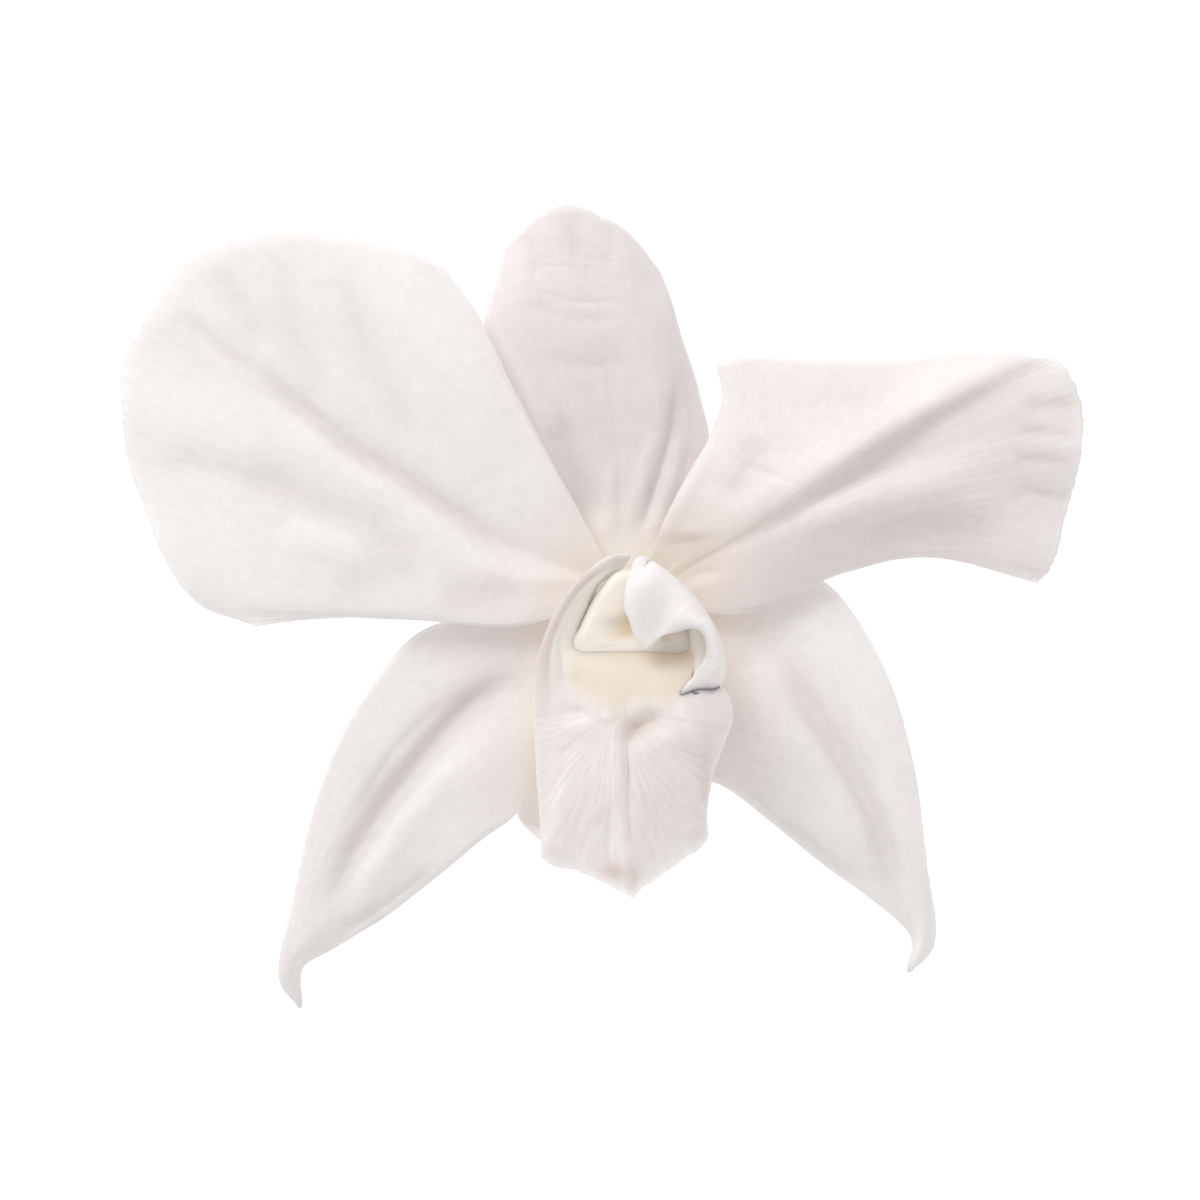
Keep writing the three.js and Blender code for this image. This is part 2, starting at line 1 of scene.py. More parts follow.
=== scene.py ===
# A white dendrobium orchid bloom, cut and lying face up, seen from straight above.
# Shapes are in millimetres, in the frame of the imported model, and become metres in the meshes.

import math

import bpy
import mathutils
import numpy as np
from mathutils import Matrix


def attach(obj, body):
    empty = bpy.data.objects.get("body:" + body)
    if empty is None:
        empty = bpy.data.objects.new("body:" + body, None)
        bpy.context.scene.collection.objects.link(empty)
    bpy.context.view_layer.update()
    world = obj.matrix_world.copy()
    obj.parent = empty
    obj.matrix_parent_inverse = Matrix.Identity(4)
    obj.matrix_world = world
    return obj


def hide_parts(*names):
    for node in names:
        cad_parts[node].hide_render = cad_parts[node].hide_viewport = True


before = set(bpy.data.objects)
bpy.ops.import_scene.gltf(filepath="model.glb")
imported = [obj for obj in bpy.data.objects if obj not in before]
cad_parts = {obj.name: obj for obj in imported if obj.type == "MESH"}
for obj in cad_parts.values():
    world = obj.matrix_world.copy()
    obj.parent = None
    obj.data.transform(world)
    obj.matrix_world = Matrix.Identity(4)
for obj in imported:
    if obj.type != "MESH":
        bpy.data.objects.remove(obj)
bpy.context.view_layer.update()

MM = 0.001

# Sizes, veins and outlines in millimetres, the same as those of the solids

# Thicknesses of the blades
PETAL_THICKNESS = 0.6
SEPAL_THICKNESS = 0.65
LIP_THICKNESS = 0.6
CHIN_THICKNESS = 0.7

# The top of the ovary, which carries the sepals, petals and column
HUB = {"x": 1.8, "y": 0.5, "top": 10.4}
SEAT_GAP = 0.3

# The ovary and its stalk, which bends back under the flower and then lies along the surface
STALK_RADIUS = 1.1
STALK_SIDES = 12
STALK_END = {"x": 0.7, "y": 22}
OVARY_LINE = [
    [1.8, 0.5, 10.4], [1.8, 0.5, 8.6], [1.8, 0.8, 6.9], [1.7, 2.0, 4.4], [1.5, 4.5, 2.2], [1.2, 8.2, 1.06],
]
OVARY_RADII = [2.3, 1.9, 1.5, 1.5, 1.35, STALK_RADIUS]

# The column, from the ovary to its tip, and half of its tip's outline from the top to the lower edge
COLUMN = {"length": 6.2, "baseRadius": 1.8, "tipX": 2.4, "tipY": -0.1}
COLUMN_TIP = [
    [0, 2.4], [0.9, 2.3], [1.6, 1.7], [2.3, 0.7], [3.0, -0.6],
    [3.6, -1.9], [4.2, -2.8], [3.5, -3.1], [1.8, -2.9], [0, -2.9],
]

# The anther cap and the pollen bodies under it
CAP = {"x": 2.9, "y": 0.3, "radius": 1.25, "wall": 0.5, "height": 1.2}
POLLEN = {"radius": 0.52, "lobeDepth": 0.12, "flatness": 0.5, "lift": 0.3}

# Small waves along the free edges of the petals
LEFT_WAVES = {"height": 0.25, "count": 5, "start": 0.6}
RIGHT_WAVES = {"height": 0.2, "count": 6, "start": 0.7}

# The veins of the left petal, from its upper edge to its lower edge.
# Each runs from the ovary to the outer edge, and the fifth is the midrib, which ends in a notch.
LEFT_PETAL_VEINS = [
    [[0.3, 3.8, 10.6], [-3.2, 10.2, 11.9], [-7.0, 17.4, 12.4], [-10.0, 23.6, 12.2], [-12.7, 27.2, 11.6]],
    [[0.1, 3.4, 10.5], [-4.2, 9.8, 12.1], [-9.0, 17.0, 12.9], [-13.4, 23.6, 12.6], [-17.0, 29.0, 11.7]],
    [[-0.1, 3.0, 10.4], [-5.6, 8.2, 12.0], [-12.0, 14.8, 12.8], [-18.8, 22.4, 12.7], [-25.6, 30.1, 11.8]],
    [[-0.2, 2.8, 10.3], [-6.3, 6.6, 11.6], [-13.8, 12.4, 12.3], [-22.8, 20.0, 12.3], [-33.1, 28.0, 11.5]],
    [[-0.3, 2.6, 10.3], [-7.0, 5.0, 11.0], [-15.2, 10.3, 11.6], [-25.4, 17.6, 11.8], [-36.0, 23.9, 11.3]],
    [[-0.4, 2.4, 10.2], [-7.6, 3.8, 11.3], [-16.4, 8.4, 12.1], [-26.8, 14.8, 12.1], [-38.2, 20.2, 11.3]],
    [[-0.5, 2.2, 10.2], [-8.0, 2.6, 11.6], [-17.2, 6.2, 12.5], [-27.6, 11.2, 12.2], [-38.4, 15.0, 11.2]],
    [[-0.6, 1.8, 10.1], [-8.0, 1.0, 11.4], [-17.2, 2.6, 12.3], [-27.2, 5.6, 11.9], [-37.0, 8.8, 10.9]],
    [[-0.8, 1.2, 10.1], [-7.6, -0.2, 11.2], [-16.4, 0.1, 11.9], [-25.2, 0.6, 11.5], [-33.2, 1.2, 10.8]],
    [[-0.8, 0.6, 10.0], [-7.0, -1.4, 10.9], [-14.4, -0.9, 11.4], [-21.6, -0.7, 11.0], [-27.9, -1.4, 10.6]],
]

# The veins of the right petal in the same order. Its midrib is the fifth too, and stands up as a fold.
RIGHT_PETAL_VEINS = [
    [[3.5, 3.5, 10.6], [6.1, 9.2, 12.6], [8.5, 13.6, 12.6], [9.6, 17.0, 11.4], [9.1, 19.4, 10.2]],
    [[3.9, 3.2, 10.5], [8.2, 8.8, 13.4], [11.6, 13.2, 13.4], [13.0, 16.8, 12.0], [12.2, 20.1, 10.2]],
    [[4.5, 2.6, 10.5], [10.4, 8.2, 14.0], [16.2, 12.8, 14.2], [20.8, 16.4, 12.6], [22.6, 19.8, 10.4]],
    [[4.5, 2.3, 10.5], [12.0, 8.1, 14.4], [18.6, 12.7, 14.9], [24.6, 16.9, 13.4], [30.2, 20.7, 11.4]],
    [[4.6, 2.0, 10.4], [13.4, 8.0, 14.6], [20.2, 12.6, 15.2], [27.0, 16.7, 14.4], [33.8, 20.2, 12.6]],
    [[4.6, 1.8, 10.4], [13.6, 7.4, 14.0], [20.7, 11.6, 14.2], [28.6, 15.8, 13.4], [36.6, 19.6, 12.4]],
    [[4.6, 1.6, 10.4], [13.4, 6.5, 13.6], [20.9, 10.4, 13.6], [29.8, 13.8, 13.2], [38.2, 16.6, 12.4]],
    [[4.6, 1.4, 10.3], [13.2, 5.4, 13.4], [21.6, 8.8, 13.9], [30.4, 11.2, 13.4], [38.3, 12.8, 12.2]],
    [[4.6, 1.2, 10.2], [12.8, 3.8, 12.8], [21.2, 6.4, 12.8], [29.6, 7.6, 12.4], [37.2, 8.0, 11.4]],
    [[4.6, 1.0, 10.1], [12.2, 2.0, 12.0], [20.2, 4.4, 11.6], [28.6, 5.0, 11.4], [36.0, 3.6, 10.6]],
    [[4.6, 0.8, 10.0], [11.6, -0.4, 10.9], [19.0, 2.8, 10.6], [26.4, 4.1, 10.8], [34.8, 2.1, 10.2]],
]

# The veins of the upper sepal, from its left edge to its right. The last two points of each bend back.
DORSAL_SEPAL_VEINS = [
    [[0.4, 3.0, 9.2], [-4.0, 11.0, 9.8], [-8.0, 18.4, 10.2],
      [-9.5, 22.6, 9.6], [-8.4, 26.4, 8.8], [-7.8, 28.9, 7.6]],
    [[0.9, 3.0, 9.2], [-2.6, 11.4, 9.9], [-5.2, 18.8, 10.6],
      [-6.2, 23.8, 10.6], [-5.8, 28.2, 9.8], [-5.0, 31.5, 7.8]],
    [[1.4, 3.0, 9.2], [-0.8, 11.6, 9.9], [-2.4, 18.8, 10.8],
      [-3.0, 24.0, 11.0], [-2.9, 28.4, 10.2], [-2.7, 32.4, 7.9]],
    [[1.8, 3.0, 9.2], [1.0, 11.6, 9.8], [0.2, 18.8, 10.7],
      [-0.2, 24.0, 11.0], [-0.4, 28.0, 10.2], [-0.5, 31.6, 8.0]],
    [[2.2, 3.0, 9.2], [2.8, 11.4, 9.9], [2.8, 18.4, 10.8],
      [2.4, 23.6, 11.0], [1.8, 27.4, 10.2], [1.6, 30.6, 8.0]],
    [[2.7, 3.0, 9.2], [4.8, 11.2, 9.9], [5.2, 17.8, 10.6],
      [4.6, 22.4, 10.4], [3.8, 25.6, 9.6], [3.2, 28.9, 8.0]],
    [[3.2, 3.0, 9.2], [8.2, 12.0, 9.4], [7.8, 17.0, 9.6],
      [6.3, 21.8, 8.8], [5.4, 25.0, 8.2], [4.4, 27.2, 7.4]],
]

# The veins of the lower left sepal, from its outer edge to its inner edge. The third is the channel.
LEFT_SEPAL_VEINS = [
    [[-0.4, 1.1, 8.6], [-8.0, -0.4, 9.0], [-14.6, -1.8, 9.0], [-19.8, -7.8, 8.2],
      [-23.0, -15.0, 6.6], [-25.0, -23.8, 4.4], [-26.1, -29.4, 2.0], [-24.7, -32.0, 0.6]],
    [[-1.8, -3.6, 8.4], [-7.4, -4.0, 8.4], [-13.0, -5.8, 8.6], [-17.8, -10.6, 8.0],
      [-21.4, -17.2, 6.5], [-24.3, -24.8, 4.5], [-25.7, -29.2, 2.3], [-24.6, -32.1, 0.5]],
    [[-3.2, -6.8, 8.0], [-7.6, -7.8, 7.8], [-11.8, -9.8, 8.0], [-16.0, -13.8, 7.4],
      [-19.8, -19.4, 6.1], [-23.2, -25.6, 4.5], [-25.2, -29.0, 2.5], [-24.5, -32.2, 0.45]],
    [[-4.4, -10.4, 7.6], [-7.4, -11.6, 8.0], [-10.8, -13.6, 8.2], [-14.4, -17.4, 7.4],
      [-18.2, -21.8, 5.9], [-22.3, -26.2, 4.1], [-24.8, -29.0, 2.1], [-24.4, -32.2, 0.4]],
    [[-5.6, -14.2, 7.0], [-7.2, -16.6, 7.2], [-9.8, -18.6, 7.2], [-13.5, -21.7, 6.4],
      [-17.6, -24.9, 4.6], [-21.6, -27.3, 3.2], [-24.3, -28.9, 1.6], [-24.3, -32.2, 0.4]],
]

# The veins of the lower right sepal in the same order
RIGHT_SEPAL_VEINS = [
    [[4.2, 0.5, 8.6], [10.6, 1.6, 9.0], [17.4, 2.4, 9.0], [22.3, -4.1, 8.2],
      [24.9, -12.0, 6.6], [26.1, -20.4, 4.4], [26.8, -26.6, 2.0], [25.0, -29.2, 0.6]],
    [[4.8, -3.2, 8.4], [10.2, -2.0, 8.4], [15.6, -1.6, 8.7], [20.6, -7.2, 8.0],
      [23.4, -13.8, 6.5], [25.4, -21.0, 4.5], [26.4, -26.4, 2.3], [24.9, -29.3, 0.5]],
    [[4.8, -6.0, 8.0], [9.8, -5.2, 7.8], [14.0, -4.6, 8.0], [18.4, -9.2, 7.4],
      [21.6, -15.4, 6.1], [24.4, -21.8, 4.5], [25.9, -26.2, 2.5], [24.8, -29.3, 0.45]],
    [[4.8, -9.2, 7.7], [8.8, -9.2, 8.0], [12.6, -9.6, 8.2], [16.4, -13.0, 7.4],
      [19.9, -18.0, 5.9], [23.4, -22.8, 4.1], [25.5, -26.2, 2.1], [24.7, -29.3, 0.4]],
    [[4.3, -13.0, 7.3], [7.0, -13.4, 7.2], [10.0, -14.4, 7.3], [14.0, -17.5, 6.5],
      [17.9, -20.7, 4.6], [22.2, -23.8, 3.2], [24.9, -26.4, 1.6], [24.6, -29.3, 0.4]],
]

# The free edge of the lip, from the back of its left side lobe, round the middle lobe
# to the back of the right one
LIP_EDGE = [
    [2.2, 4.4, 15.6], [0.2, 4.0, 17.2], [-2.6, 1.6, 17.8], [-4.7, -2.4, 17.8], [-5.5, -6.5, 17.2],
    [-5.3, -12.0, 15.8], [-4.9, -18.2, 13.2], [-4.5, -20.2, 12.6], [-1.8, -21.0, 12.5], [1.2, -22.4, 13.0],
    [2.4, -23.0, 13.3], [3.3, -22.2, 13.0], [6.2, -20.2, 12.4], [8.3, -18.5, 12.8], [8.3, -16.4, 13.9],
    [8.9, -12.8, 15.8], [10.3, -8.7, 17.2], [9.6, -6.3, 18.1], [8.0, -6.4, 18.3], [6.2, -6.8, 18.5],
    [7.2, -5.2, 19.1], [8.3, -3.1, 19.8], [7.4, -1.3, 20.2], [4.6, -2.2, 20.0], [3.2, -3.1, 19.2],
    [1.7, 0.6, 20.0], [2.8, 4.1, 18.4], [4.4, 3.0, 15.2],
]

# The rim of the lip's mouth, met by the same veins
LIP_RIM = [
    [1.4, 3.4, 14.2], [-0.2, 2.6, 16.4], [-2.0, 0.9, 17.3], [-3.5, -2.1, 17.4], [-3.3, -4.9, 17.0],
    [-2.4, -6.2, 17.0], [-1.5, -6.8, 17.4], [-0.6, -7.2, 17.7], [0.3, -7.5, 18.0], [1.3, -7.7, 18.2],
    [2.0, -7.6, 18.2], [2.7, -7.4, 18.2], [3.8, -7.3, 18.2], [4.9, -7.2, 18.3], [5.5, -7.1, 18.3],
    [6.1, -7.0, 18.3], [6.9, -6.8, 18.3], [7.4, -6.5, 18.2], [7.3, -6.3, 18.2], [7.6, -6.0, 18.1],
    [8.8, -6.1, 17.7], [9.4, -4.5, 17.8], [8.9, -2.0, 17.6], [7.6, 0.2, 17.8], [5.9, 2.0, 18.0],
    [4.3, 3.3, 18.2], [4.3, 3.2, 16.0], [5.5, 1.7, 13.8],
]

# The throat round the tip of the column, met by the same veins
LIP_THROAT = [
    [-0.6, 1.8, 13.6], [-0.8, 1.5, 15.1], [-1.4, 0.3, 15.8], [-2.3, -1.7, 16.0], [-2.5, -3.0, 16.2],
    [-1.6, -3.6, 16.3], [-0.8, -3.6, 16.3], [-0.1, -3.6, 16.3], [0.6, -3.6, 16.3], [1.3, -3.6, 16.3],
    [2.0, -3.6, 16.3], [2.7, -3.6, 16.3], [3.4, -3.6, 16.3], [4.1, -3.65, 16.3], [4.7, -3.7, 16.3],
    [5.3, -3.75, 16.3], [6.0, -3.75, 16.3], [6.9, -3.6, 16.4], [7.3, -3.2, 16.6], [7.4, -2.8, 16.8],
    [7.5, -2.2, 16.9], [7.5, -1.5, 16.7], [7.3, -0.6, 15.7], [7.0, 0.0, 14.8], [6.6, 0.4, 13.9],
    [6.1, 0.8, 13.3], [5.7, 1.1, 12.9], [5.5, 1.1, 12.7],
]

# Where each of those veins leaves the neck below the throat, in degrees from its floor, and how far
# and how high it arches between the rim and the free edge
LIP_VEIN_ANGLE = [
    -63, -59, -50, -40, -31, -23, -19, -15, -7, -3, 0, 3, 8, 13, 16, 18, 23, 27, 29, 31, 34, 38, 44, 50,
    54, 58, 62, 63,
]
LIP_VEIN_SHARE = [0.5] * 20 + [0.3, 0.25, 0.25, 0.3, 0.3, 0.35, 0.4, 0.5]
LIP_VEIN_RISE = [
    0, 0.2, 0.4, 0.4, 0.3, 0.7, 1.3, 1.7, 1.9, 1.8, 1.7, 1.8, 1.9, 1.7, 1.35, 1.0, 0.5, 0.3, 0.1, 0,
    0.8, 1.9, 2.0, 1.9, 1.6, 1.3, 0.6, 0,
]

# The claw of the lip, and the ring of its neck above that
LIP_CLAW = {"x": 1.0, "y": -7.0, "z": 6.8, "halfWidth": 1.3}
LIP_NECK = {"x": 1.8, "y": -0.1, "radius": 3.3, "z": 9.8}

# The chin under the lip: the middle line of its floor, its half-width, and how deep it is below its rim
CHIN_LINE = [
    [1.6, -1.9, 6.9], [1.0, -6.0, 5.6], [0.0, -11.0, 4.4], [-1.8, -16.0, 3.4], [-2.2, -19.6, 3.6],
]
CHIN_HALF_WIDTH = [2.2, 3.0, 4.0, 4.9, 1.2]
CHIN_DEPTH = [0.8, 1.6, 2.5, 2.6, 1.2]


def smooth_through(values, place):
    """Smooth line through values that are evenly spaced from 0 to 1, at each place."""
    values = np.asarray(values, float)
    place = np.asarray(place, float)
    last = len(values) - 1
    padded = np.concatenate([
        [2 * values[0] - values[1]], values, [2 * values[last] - values[last - 1]],
    ])
    scaled = np.clip(place, 0, 1) * last
    index = np.minimum(scaled.astype(int), last - 1)
    share = (scaled - index).reshape(place.shape + (1,) * (values.ndim - 1))
    before, start, end, after = (padded[index + step] for step in range(4))
    slope_start = (end - before) / 2
    slope_end = (after - start) / 2
    bend = 3 * (end - start) - 2 * slope_start - slope_end
    twist = 2 * (start - end) + slope_start + slope_end
    return start + share * (slope_start + share * (bend + share * twist))


def vein_points(veins, across, outward):
    """Points of a blade's middle surface: one row of points for each place across it."""
    along = smooth_through(np.swapaxes(np.array(veins, float), 0, 1), outward)
    return smooth_through(np.swapaxes(along, 0, 1), across)


def ease(low, high, value):
    share = np.clip((value - low) / (high - low), 0, 1)
    return share * share * (3 - 2 * share)


def bump(value, centre, width):
    return np.exp(-(((value - centre) / width) ** 2))


def noise(x, y, seed):
    """Smooth random heights from -1 to 1, one for each unit square."""
    generator = np.random.default_rng(seed)
    lattice = generator.uniform(-1, 1, (256, 256))
    column = np.floor(x).astype(int)
    row = np.floor(y).astype(int)
    fx = x - column
    fy = y - row
    fx = fx * fx * (3 - 2 * fx)
    fy = fy * fy * (3 - 2 * fy)
    corner = [lattice[(column + i) % 256, (row + j) % 256] for i in (0, 1) for j in (0, 1)]
    left = corner[0] * (1 - fy) + corner[1] * fy
    right = corner[2] * (1 - fy) + corner[3] * fy
    return left * (1 - fx) + right * fx


def grain(points, scale, seed):
    """Even roughness with no direction: layers of noise turned against each other."""
    total = 0
    for layer, turn in enumerate((0.4, 1.4, 2.5)):
        x = points[..., 0] * math.cos(turn) + points[..., 1] * math.sin(turn)
        y = points[..., 1] * math.cos(turn) - points[..., 0] * math.sin(turn)
        total = total + noise(x * scale, y * scale, seed + layer)
    return total / 2


def soft_spots(points, spots):
    """Places of painted shade, each [x, y, half-width, half-height, strength]."""
    total = np.zeros(points.shape[:2])
    for x, y, half_width, half_height, strength in spots:
        reach = np.hypot((points[..., 0] - x) / half_width, (points[..., 1] - y) / half_height)
        total = np.maximum(total, strength * np.exp(-reach ** 2))
    return total


def unit(vectors):
    length = np.linalg.norm(vectors, axis=-1, keepdims=True)
    return vectors / np.maximum(length, 1e-9)


def sheet_normals(points):
    across = np.gradient(points, axis=0)
    outward = np.gradient(points, axis=1)
    return unit(np.cross(across, outward))


def length_of(line):
    """Length of a line of points, in millimetres."""
    return np.linalg.norm(np.diff(line, axis=0), axis=-1).sum()


def placed(name, data):
    """A new object of this name in the scene."""
    thing = bpy.data.objects.new(name, data)
    bpy.context.scene.collection.objects.link(thing)
    return thing


def mesh_object(name, points, faces, attributes):
    mesh = bpy.data.meshes.new(name)
    mesh.from_pydata((points * MM).tolist(), [], faces)
    mesh.validate()
    for label, values in attributes.items():
        layer = mesh.attributes.new(label, "FLOAT", "POINT")
        layer.data.foreach_set("value", np.asarray(values, np.float32).ravel())
    mesh.polygons.foreach_set("use_smooth", [True] * len(mesh.polygons))
    return placed(name, mesh)


def blade_faces(columns, rows):
    """Quads of both faces of a blade and of its rim. Point (i, j) has the number i * rows + j."""
    i, j = np.meshgrid(np.arange(columns - 1), np.arange(rows - 1), indexing="ij")
    a = (i * rows + j).ravel()
    b = a + rows
    count = columns * rows
    front = np.stack([a, b, b + 1, a + 1], axis=1)
    back = front[:, ::-1] + count
    border = np.concatenate([
        np.arange(rows - 1),
        np.arange(columns - 1) * rows + rows - 1,
        (columns - 1) * rows + np.arange(rows - 1, 0, -1),
        np.arange(columns - 1, 0, -1) * rows,
    ])
    following = np.roll(border, -1)
    rim = np.stack([border, following, following + count, border + count], axis=1)
    return np.concatenate([front, back, rim]).tolist()


def outward_faces(points, faces):
    """The same faces, turned round if they would point into the solid."""
    triangles = [face[:3] for face in faces] + [face[:1] + face[2:] for face in faces if len(face) == 4]
    a, b, c = points[np.array(triangles).T]
    volume = np.einsum("ij,ij->i", a, np.cross(b, c)).sum()
    return faces if volume > 0 else [face[::-1] for face in faces]


def blade(name, points, thickness, front_relief, back_relief, front_sign, attributes):
    """A closed blade. The reliefs are raised on the face that the flower shows and on its back."""
    columns, rows = points.shape[:2]
    normal = sheet_normals(points) * front_sign
    half = np.broadcast_to(np.asarray(thickness, float) / 2, (columns, rows))
    front = points + normal * (half + front_relief)[..., None]
    back = points - normal * (half - back_relief)[..., None]
    both = np.concatenate([front.reshape(-1, 3), back.reshape(-1, 3)])
    faces = outward_faces(both, blade_faces(columns, rows))
    doubled = {}
    for label, values in attributes.items():
        front_values, back_values = values if isinstance(values, tuple) else (values, values)
        doubled[label] = np.concatenate([np.ravel(front_values), np.ravel(back_values)])
    return mesh_object(name, both, faces, doubled)


def grid(counts):
    """Even shares across and outward, and then the same two for each point of a sheet."""
    shares = [np.linspace(0, 1, count) for count in counts]
    return shares, np.meshgrid(*shares, indexing="ij")


def polyline_distance(places, line):
    """Distance of each place from a line seen from above, and how far along it the nearest point is."""
    line = np.array(line, float)
    nearest = np.full(places.shape[:-1], np.inf)
    along = np.zeros(places.shape[:-1])
    lengths = np.linalg.norm(np.diff(line, axis=0), axis=1)
    reached = 0.0
    for start, end, length in zip(line[:-1], line[1:], lengths):
        share = np.clip(((places - start) @ (end - start)) / length ** 2, 0, 1)
        distance = np.linalg.norm(places - start - share[..., None] * (end - start), axis=-1)
        closer = distance < nearest
        nearest = np.where(closer, distance, nearest)
        along = np.where(closer, reached + share * length, along)
        reached += length
    return nearest, along / reached


def fold_relief(points, folds):
    """Ridges, and grooves where the height is negative, each along its own line and fading at its ends."""
    places = points[..., :2]
    relief = np.zeros(points.shape[:2])
    for height, width, line, *fades in folds:
        rise, fall = fades or (0.25, 0.25)
        distance, along = polyline_distance(places, smooth_through(line, np.linspace(0, 1, 24)))
        start = ease(-0.02, rise, along)
        end = 1 - ease(1 - fall, 1.02, along)
        relief += height * bump(distance, 0, width) * start * end
    return relief


def vein_pattern(across, outward, count, seed):
    """Fine veins that run outward, fork once and wander a little. 1 on a vein and 0 between veins."""
    wander = 0.35 * noise(across * count / 3, outward * 5, seed)
    few = np.abs(np.sin(np.pi * (across * count + wander))) ** 6
    many = np.abs(np.sin(np.pi * (2 * across * count + wander + 0.25))) ** 6
    share = ease(0.35, 0.75, outward + 0.15 * noise(across * count / 2, outward * 3, seed + 1))
    strength = 0.6 + 0.4 * noise(across * count, outward * 4, seed + 2)
    return (few * (1 - 0.6 * share) + many * 0.6 * share) * strength


def ragged_edges(points, amounts, step, seed):
    """Moves the free edges in and out a little: the first and last side and the outer end."""
    result = points.copy()
    outward = unit(np.gradient(points, axis=1))
    sideways = unit(np.gradient(points, axis=0))
    columns, rows = points.shape[:2]
    across = np.linspace(0, 1, columns)[:, None]
    along = np.linspace(0, 1, rows)[None, :]
    rim_length = length_of(points[:, -1])
    side_length = length_of(points[0])
    first, last, outer = amounts
    rim = rough_line(across * rim_length / step, seed) * np.ones_like(along)
    result += outward * (outer * rim * ease(0.9, 1.0, along))[..., None]
    side = rough_line(along * side_length / step, seed + 5) * np.ones_like(across)
    fade = ease(0.3, 0.6, along)
    result -= sideways * (first * side * (1 - ease(0.0, 0.08, across)) * fade)[..., None]
    result += sideways * (last * side * ease(0.92, 1.0, across) * fade)[..., None]
    return result


def rough_line(place, seed):
    zero = np.zeros_like(place)
    return 0.6 * noise(place, zero, seed) + 0.4 * noise(place * 2.3, zero + 3.5, seed)


def wavy(points, across, outward, waves):
    reach = np.clip((outward - waves["start"]) / (1 - waves["start"]), 0, 1)
    result = points.copy()
    result[..., 2] += waves["height"] * reach ** 2 * np.sin(2 * math.pi * waves["count"] * across)
    return result


def thinned(across, outward, thickness, edge, sides=True):
    """A blade's thickness, which tapers slowly from the middle on and fast at the free edges."""
    slow = ease(0.55, 1.0, outward)
    fast = ease(0.97, 1.0, outward)
    taper = slow * 0.35 + fast * 0.65
    if sides:
        from_side = np.minimum(across, 1 - across)
        taper = np.maximum(taper, (1 - ease(0.0, 0.03, from_side)) * ease(0.1, 0.3, outward))
    return thickness + (edge - thickness) * np.clip(taper, 0, 1)


# How many points each sheet has across it and from its base to its free edge
PETAL_POINTS = (280, 140)
UPPER_SEPAL_POINTS = (150, 170)
LOWER_SEPAL_POINTS = (110, 220)
LIP_POINTS = (320, 130)
CHIN_POINTS = (70, 60)

# The fine grain of petals and sepals: grains in a millimetre and their height. Then the distance between
# the small teeth of a free edge, the depth that gives a groove its full painted shade, and how much of the
# relief shows on the back.
GRAIN_SCALE = 1.6
GRAIN_HEIGHT = 0.012
TOOTH_STEP = 0.5
FULL_GROOVE = 0.5
BACK_SHARE = 0.7


def sheet(name, veins, counts, look):
    """A petal or sepal from the veins of its middle surface, with its folds, fine veins and wrinkles."""
    shares, (across, outward) = grid(counts)
    points = vein_points(veins, *shares)
    if "waves" in look:
        points = wavy(points, across, outward, look["waves"])
    seed = look["seed"]
    upward = 1 if sheet_normals(points)[..., 2].mean() > 0 else -1
    relief = fold_relief(points, look["folds"])
    fine_veins = vein_pattern(across, outward, look["vein_count"], seed)
    shape = points + sheet_normals(points) * (upward * relief)[..., None]
    shape = ragged_edges(shape, look["teeth"], TOOTH_STEP, seed + 4)
    thickness = thinned(across, outward, look["thickness"], look["edge"])
    surface = look["vein_height"] * fine_veins * ease(0.1, 0.8, outward)
    surface = surface + GRAIN_HEIGHT * grain(points, GRAIN_SCALE, seed + 30)
    wrinkles = look["wrinkles"]
    wrinkled = noise(across * wrinkles["across"], outward * wrinkles["outward"], seed + 6)
    where = bump(across, 0.45, 0.3) * bump(outward, wrinkles["middle"], 0.3)
    surface += wrinkles["height"] * wrinkled * where
    # Painted shade: the colour is darkened along the grooves and at the look's soft spots
    return blade(name, shape, thickness, surface, -BACK_SHARE * surface, upward, {
        "across": across, "outward": outward, "vein": fine_veins,
        "painted_shade": np.clip(-relief / FULL_GROOVE, 0, 1) + soft_spots(points, look["shade_spots"]),
    })


# Folds of the left petal: height above the surface, half-width, and line as seen from above.
# Two more numbers say over which shares of its length a fold rises and fades.
LEFT_PETAL_FOLDS = [
    (-0.6, 1.0, [[-29.4, 20.0], [-24.6, 16.5], [-20.2, 12.9], [-16.2, 10.5], [-12.2, 7.7], [-8.2, 4.9],
                 [-4.6, 3.3]]),
    (0.25, 1.1, [[-26.0, 15.8], [-21.0, 11.4], [-16.6, 8.8], [-12.0, 5.9], [-8.0, 3.4]]),
    (-0.25, 0.8, [[-34.0, 23.9], [-31.0, 21.4], [-27.0, 18.2]]),
    (-0.4, 2.2, [[-29.0, 13.4], [-24.0, 9.0], [-19.0, 6.8], [-13.0, 3.6]]),
    (-0.22, 1.2, [[-25.8, 28.8], [-25.4, 26.0], [-24.4, 21.0], [-21.6, 16.0]]),
    (-0.25, 1.2, [[-20.6, 28.6], [-20.0, 26.0], [-18.4, 20.0], [-14.0, 12.0]]),
    (-0.25, 1.1, [[-31.0, 27.6], [-28.8, 24.0], [-26.6, 20.6]]),
    (-0.25, 1.6, [[-22.4, 0.8], [-18.6, 2.0], [-13.4, 3.2]]),
    (-0.25, 1.4, [[-13.6, 0.8], [-9.6, 1.0], [-5.6, 1.6]]),
    (0.3, 1.5, [[-26.0, 6.0], [-22.0, 5.0], [-18.4, 4.4]]),
    (-0.3, 1.4, [[-36.0, 12.0], [-30.0, 11.0], [-24.0, 8.4]]),
]

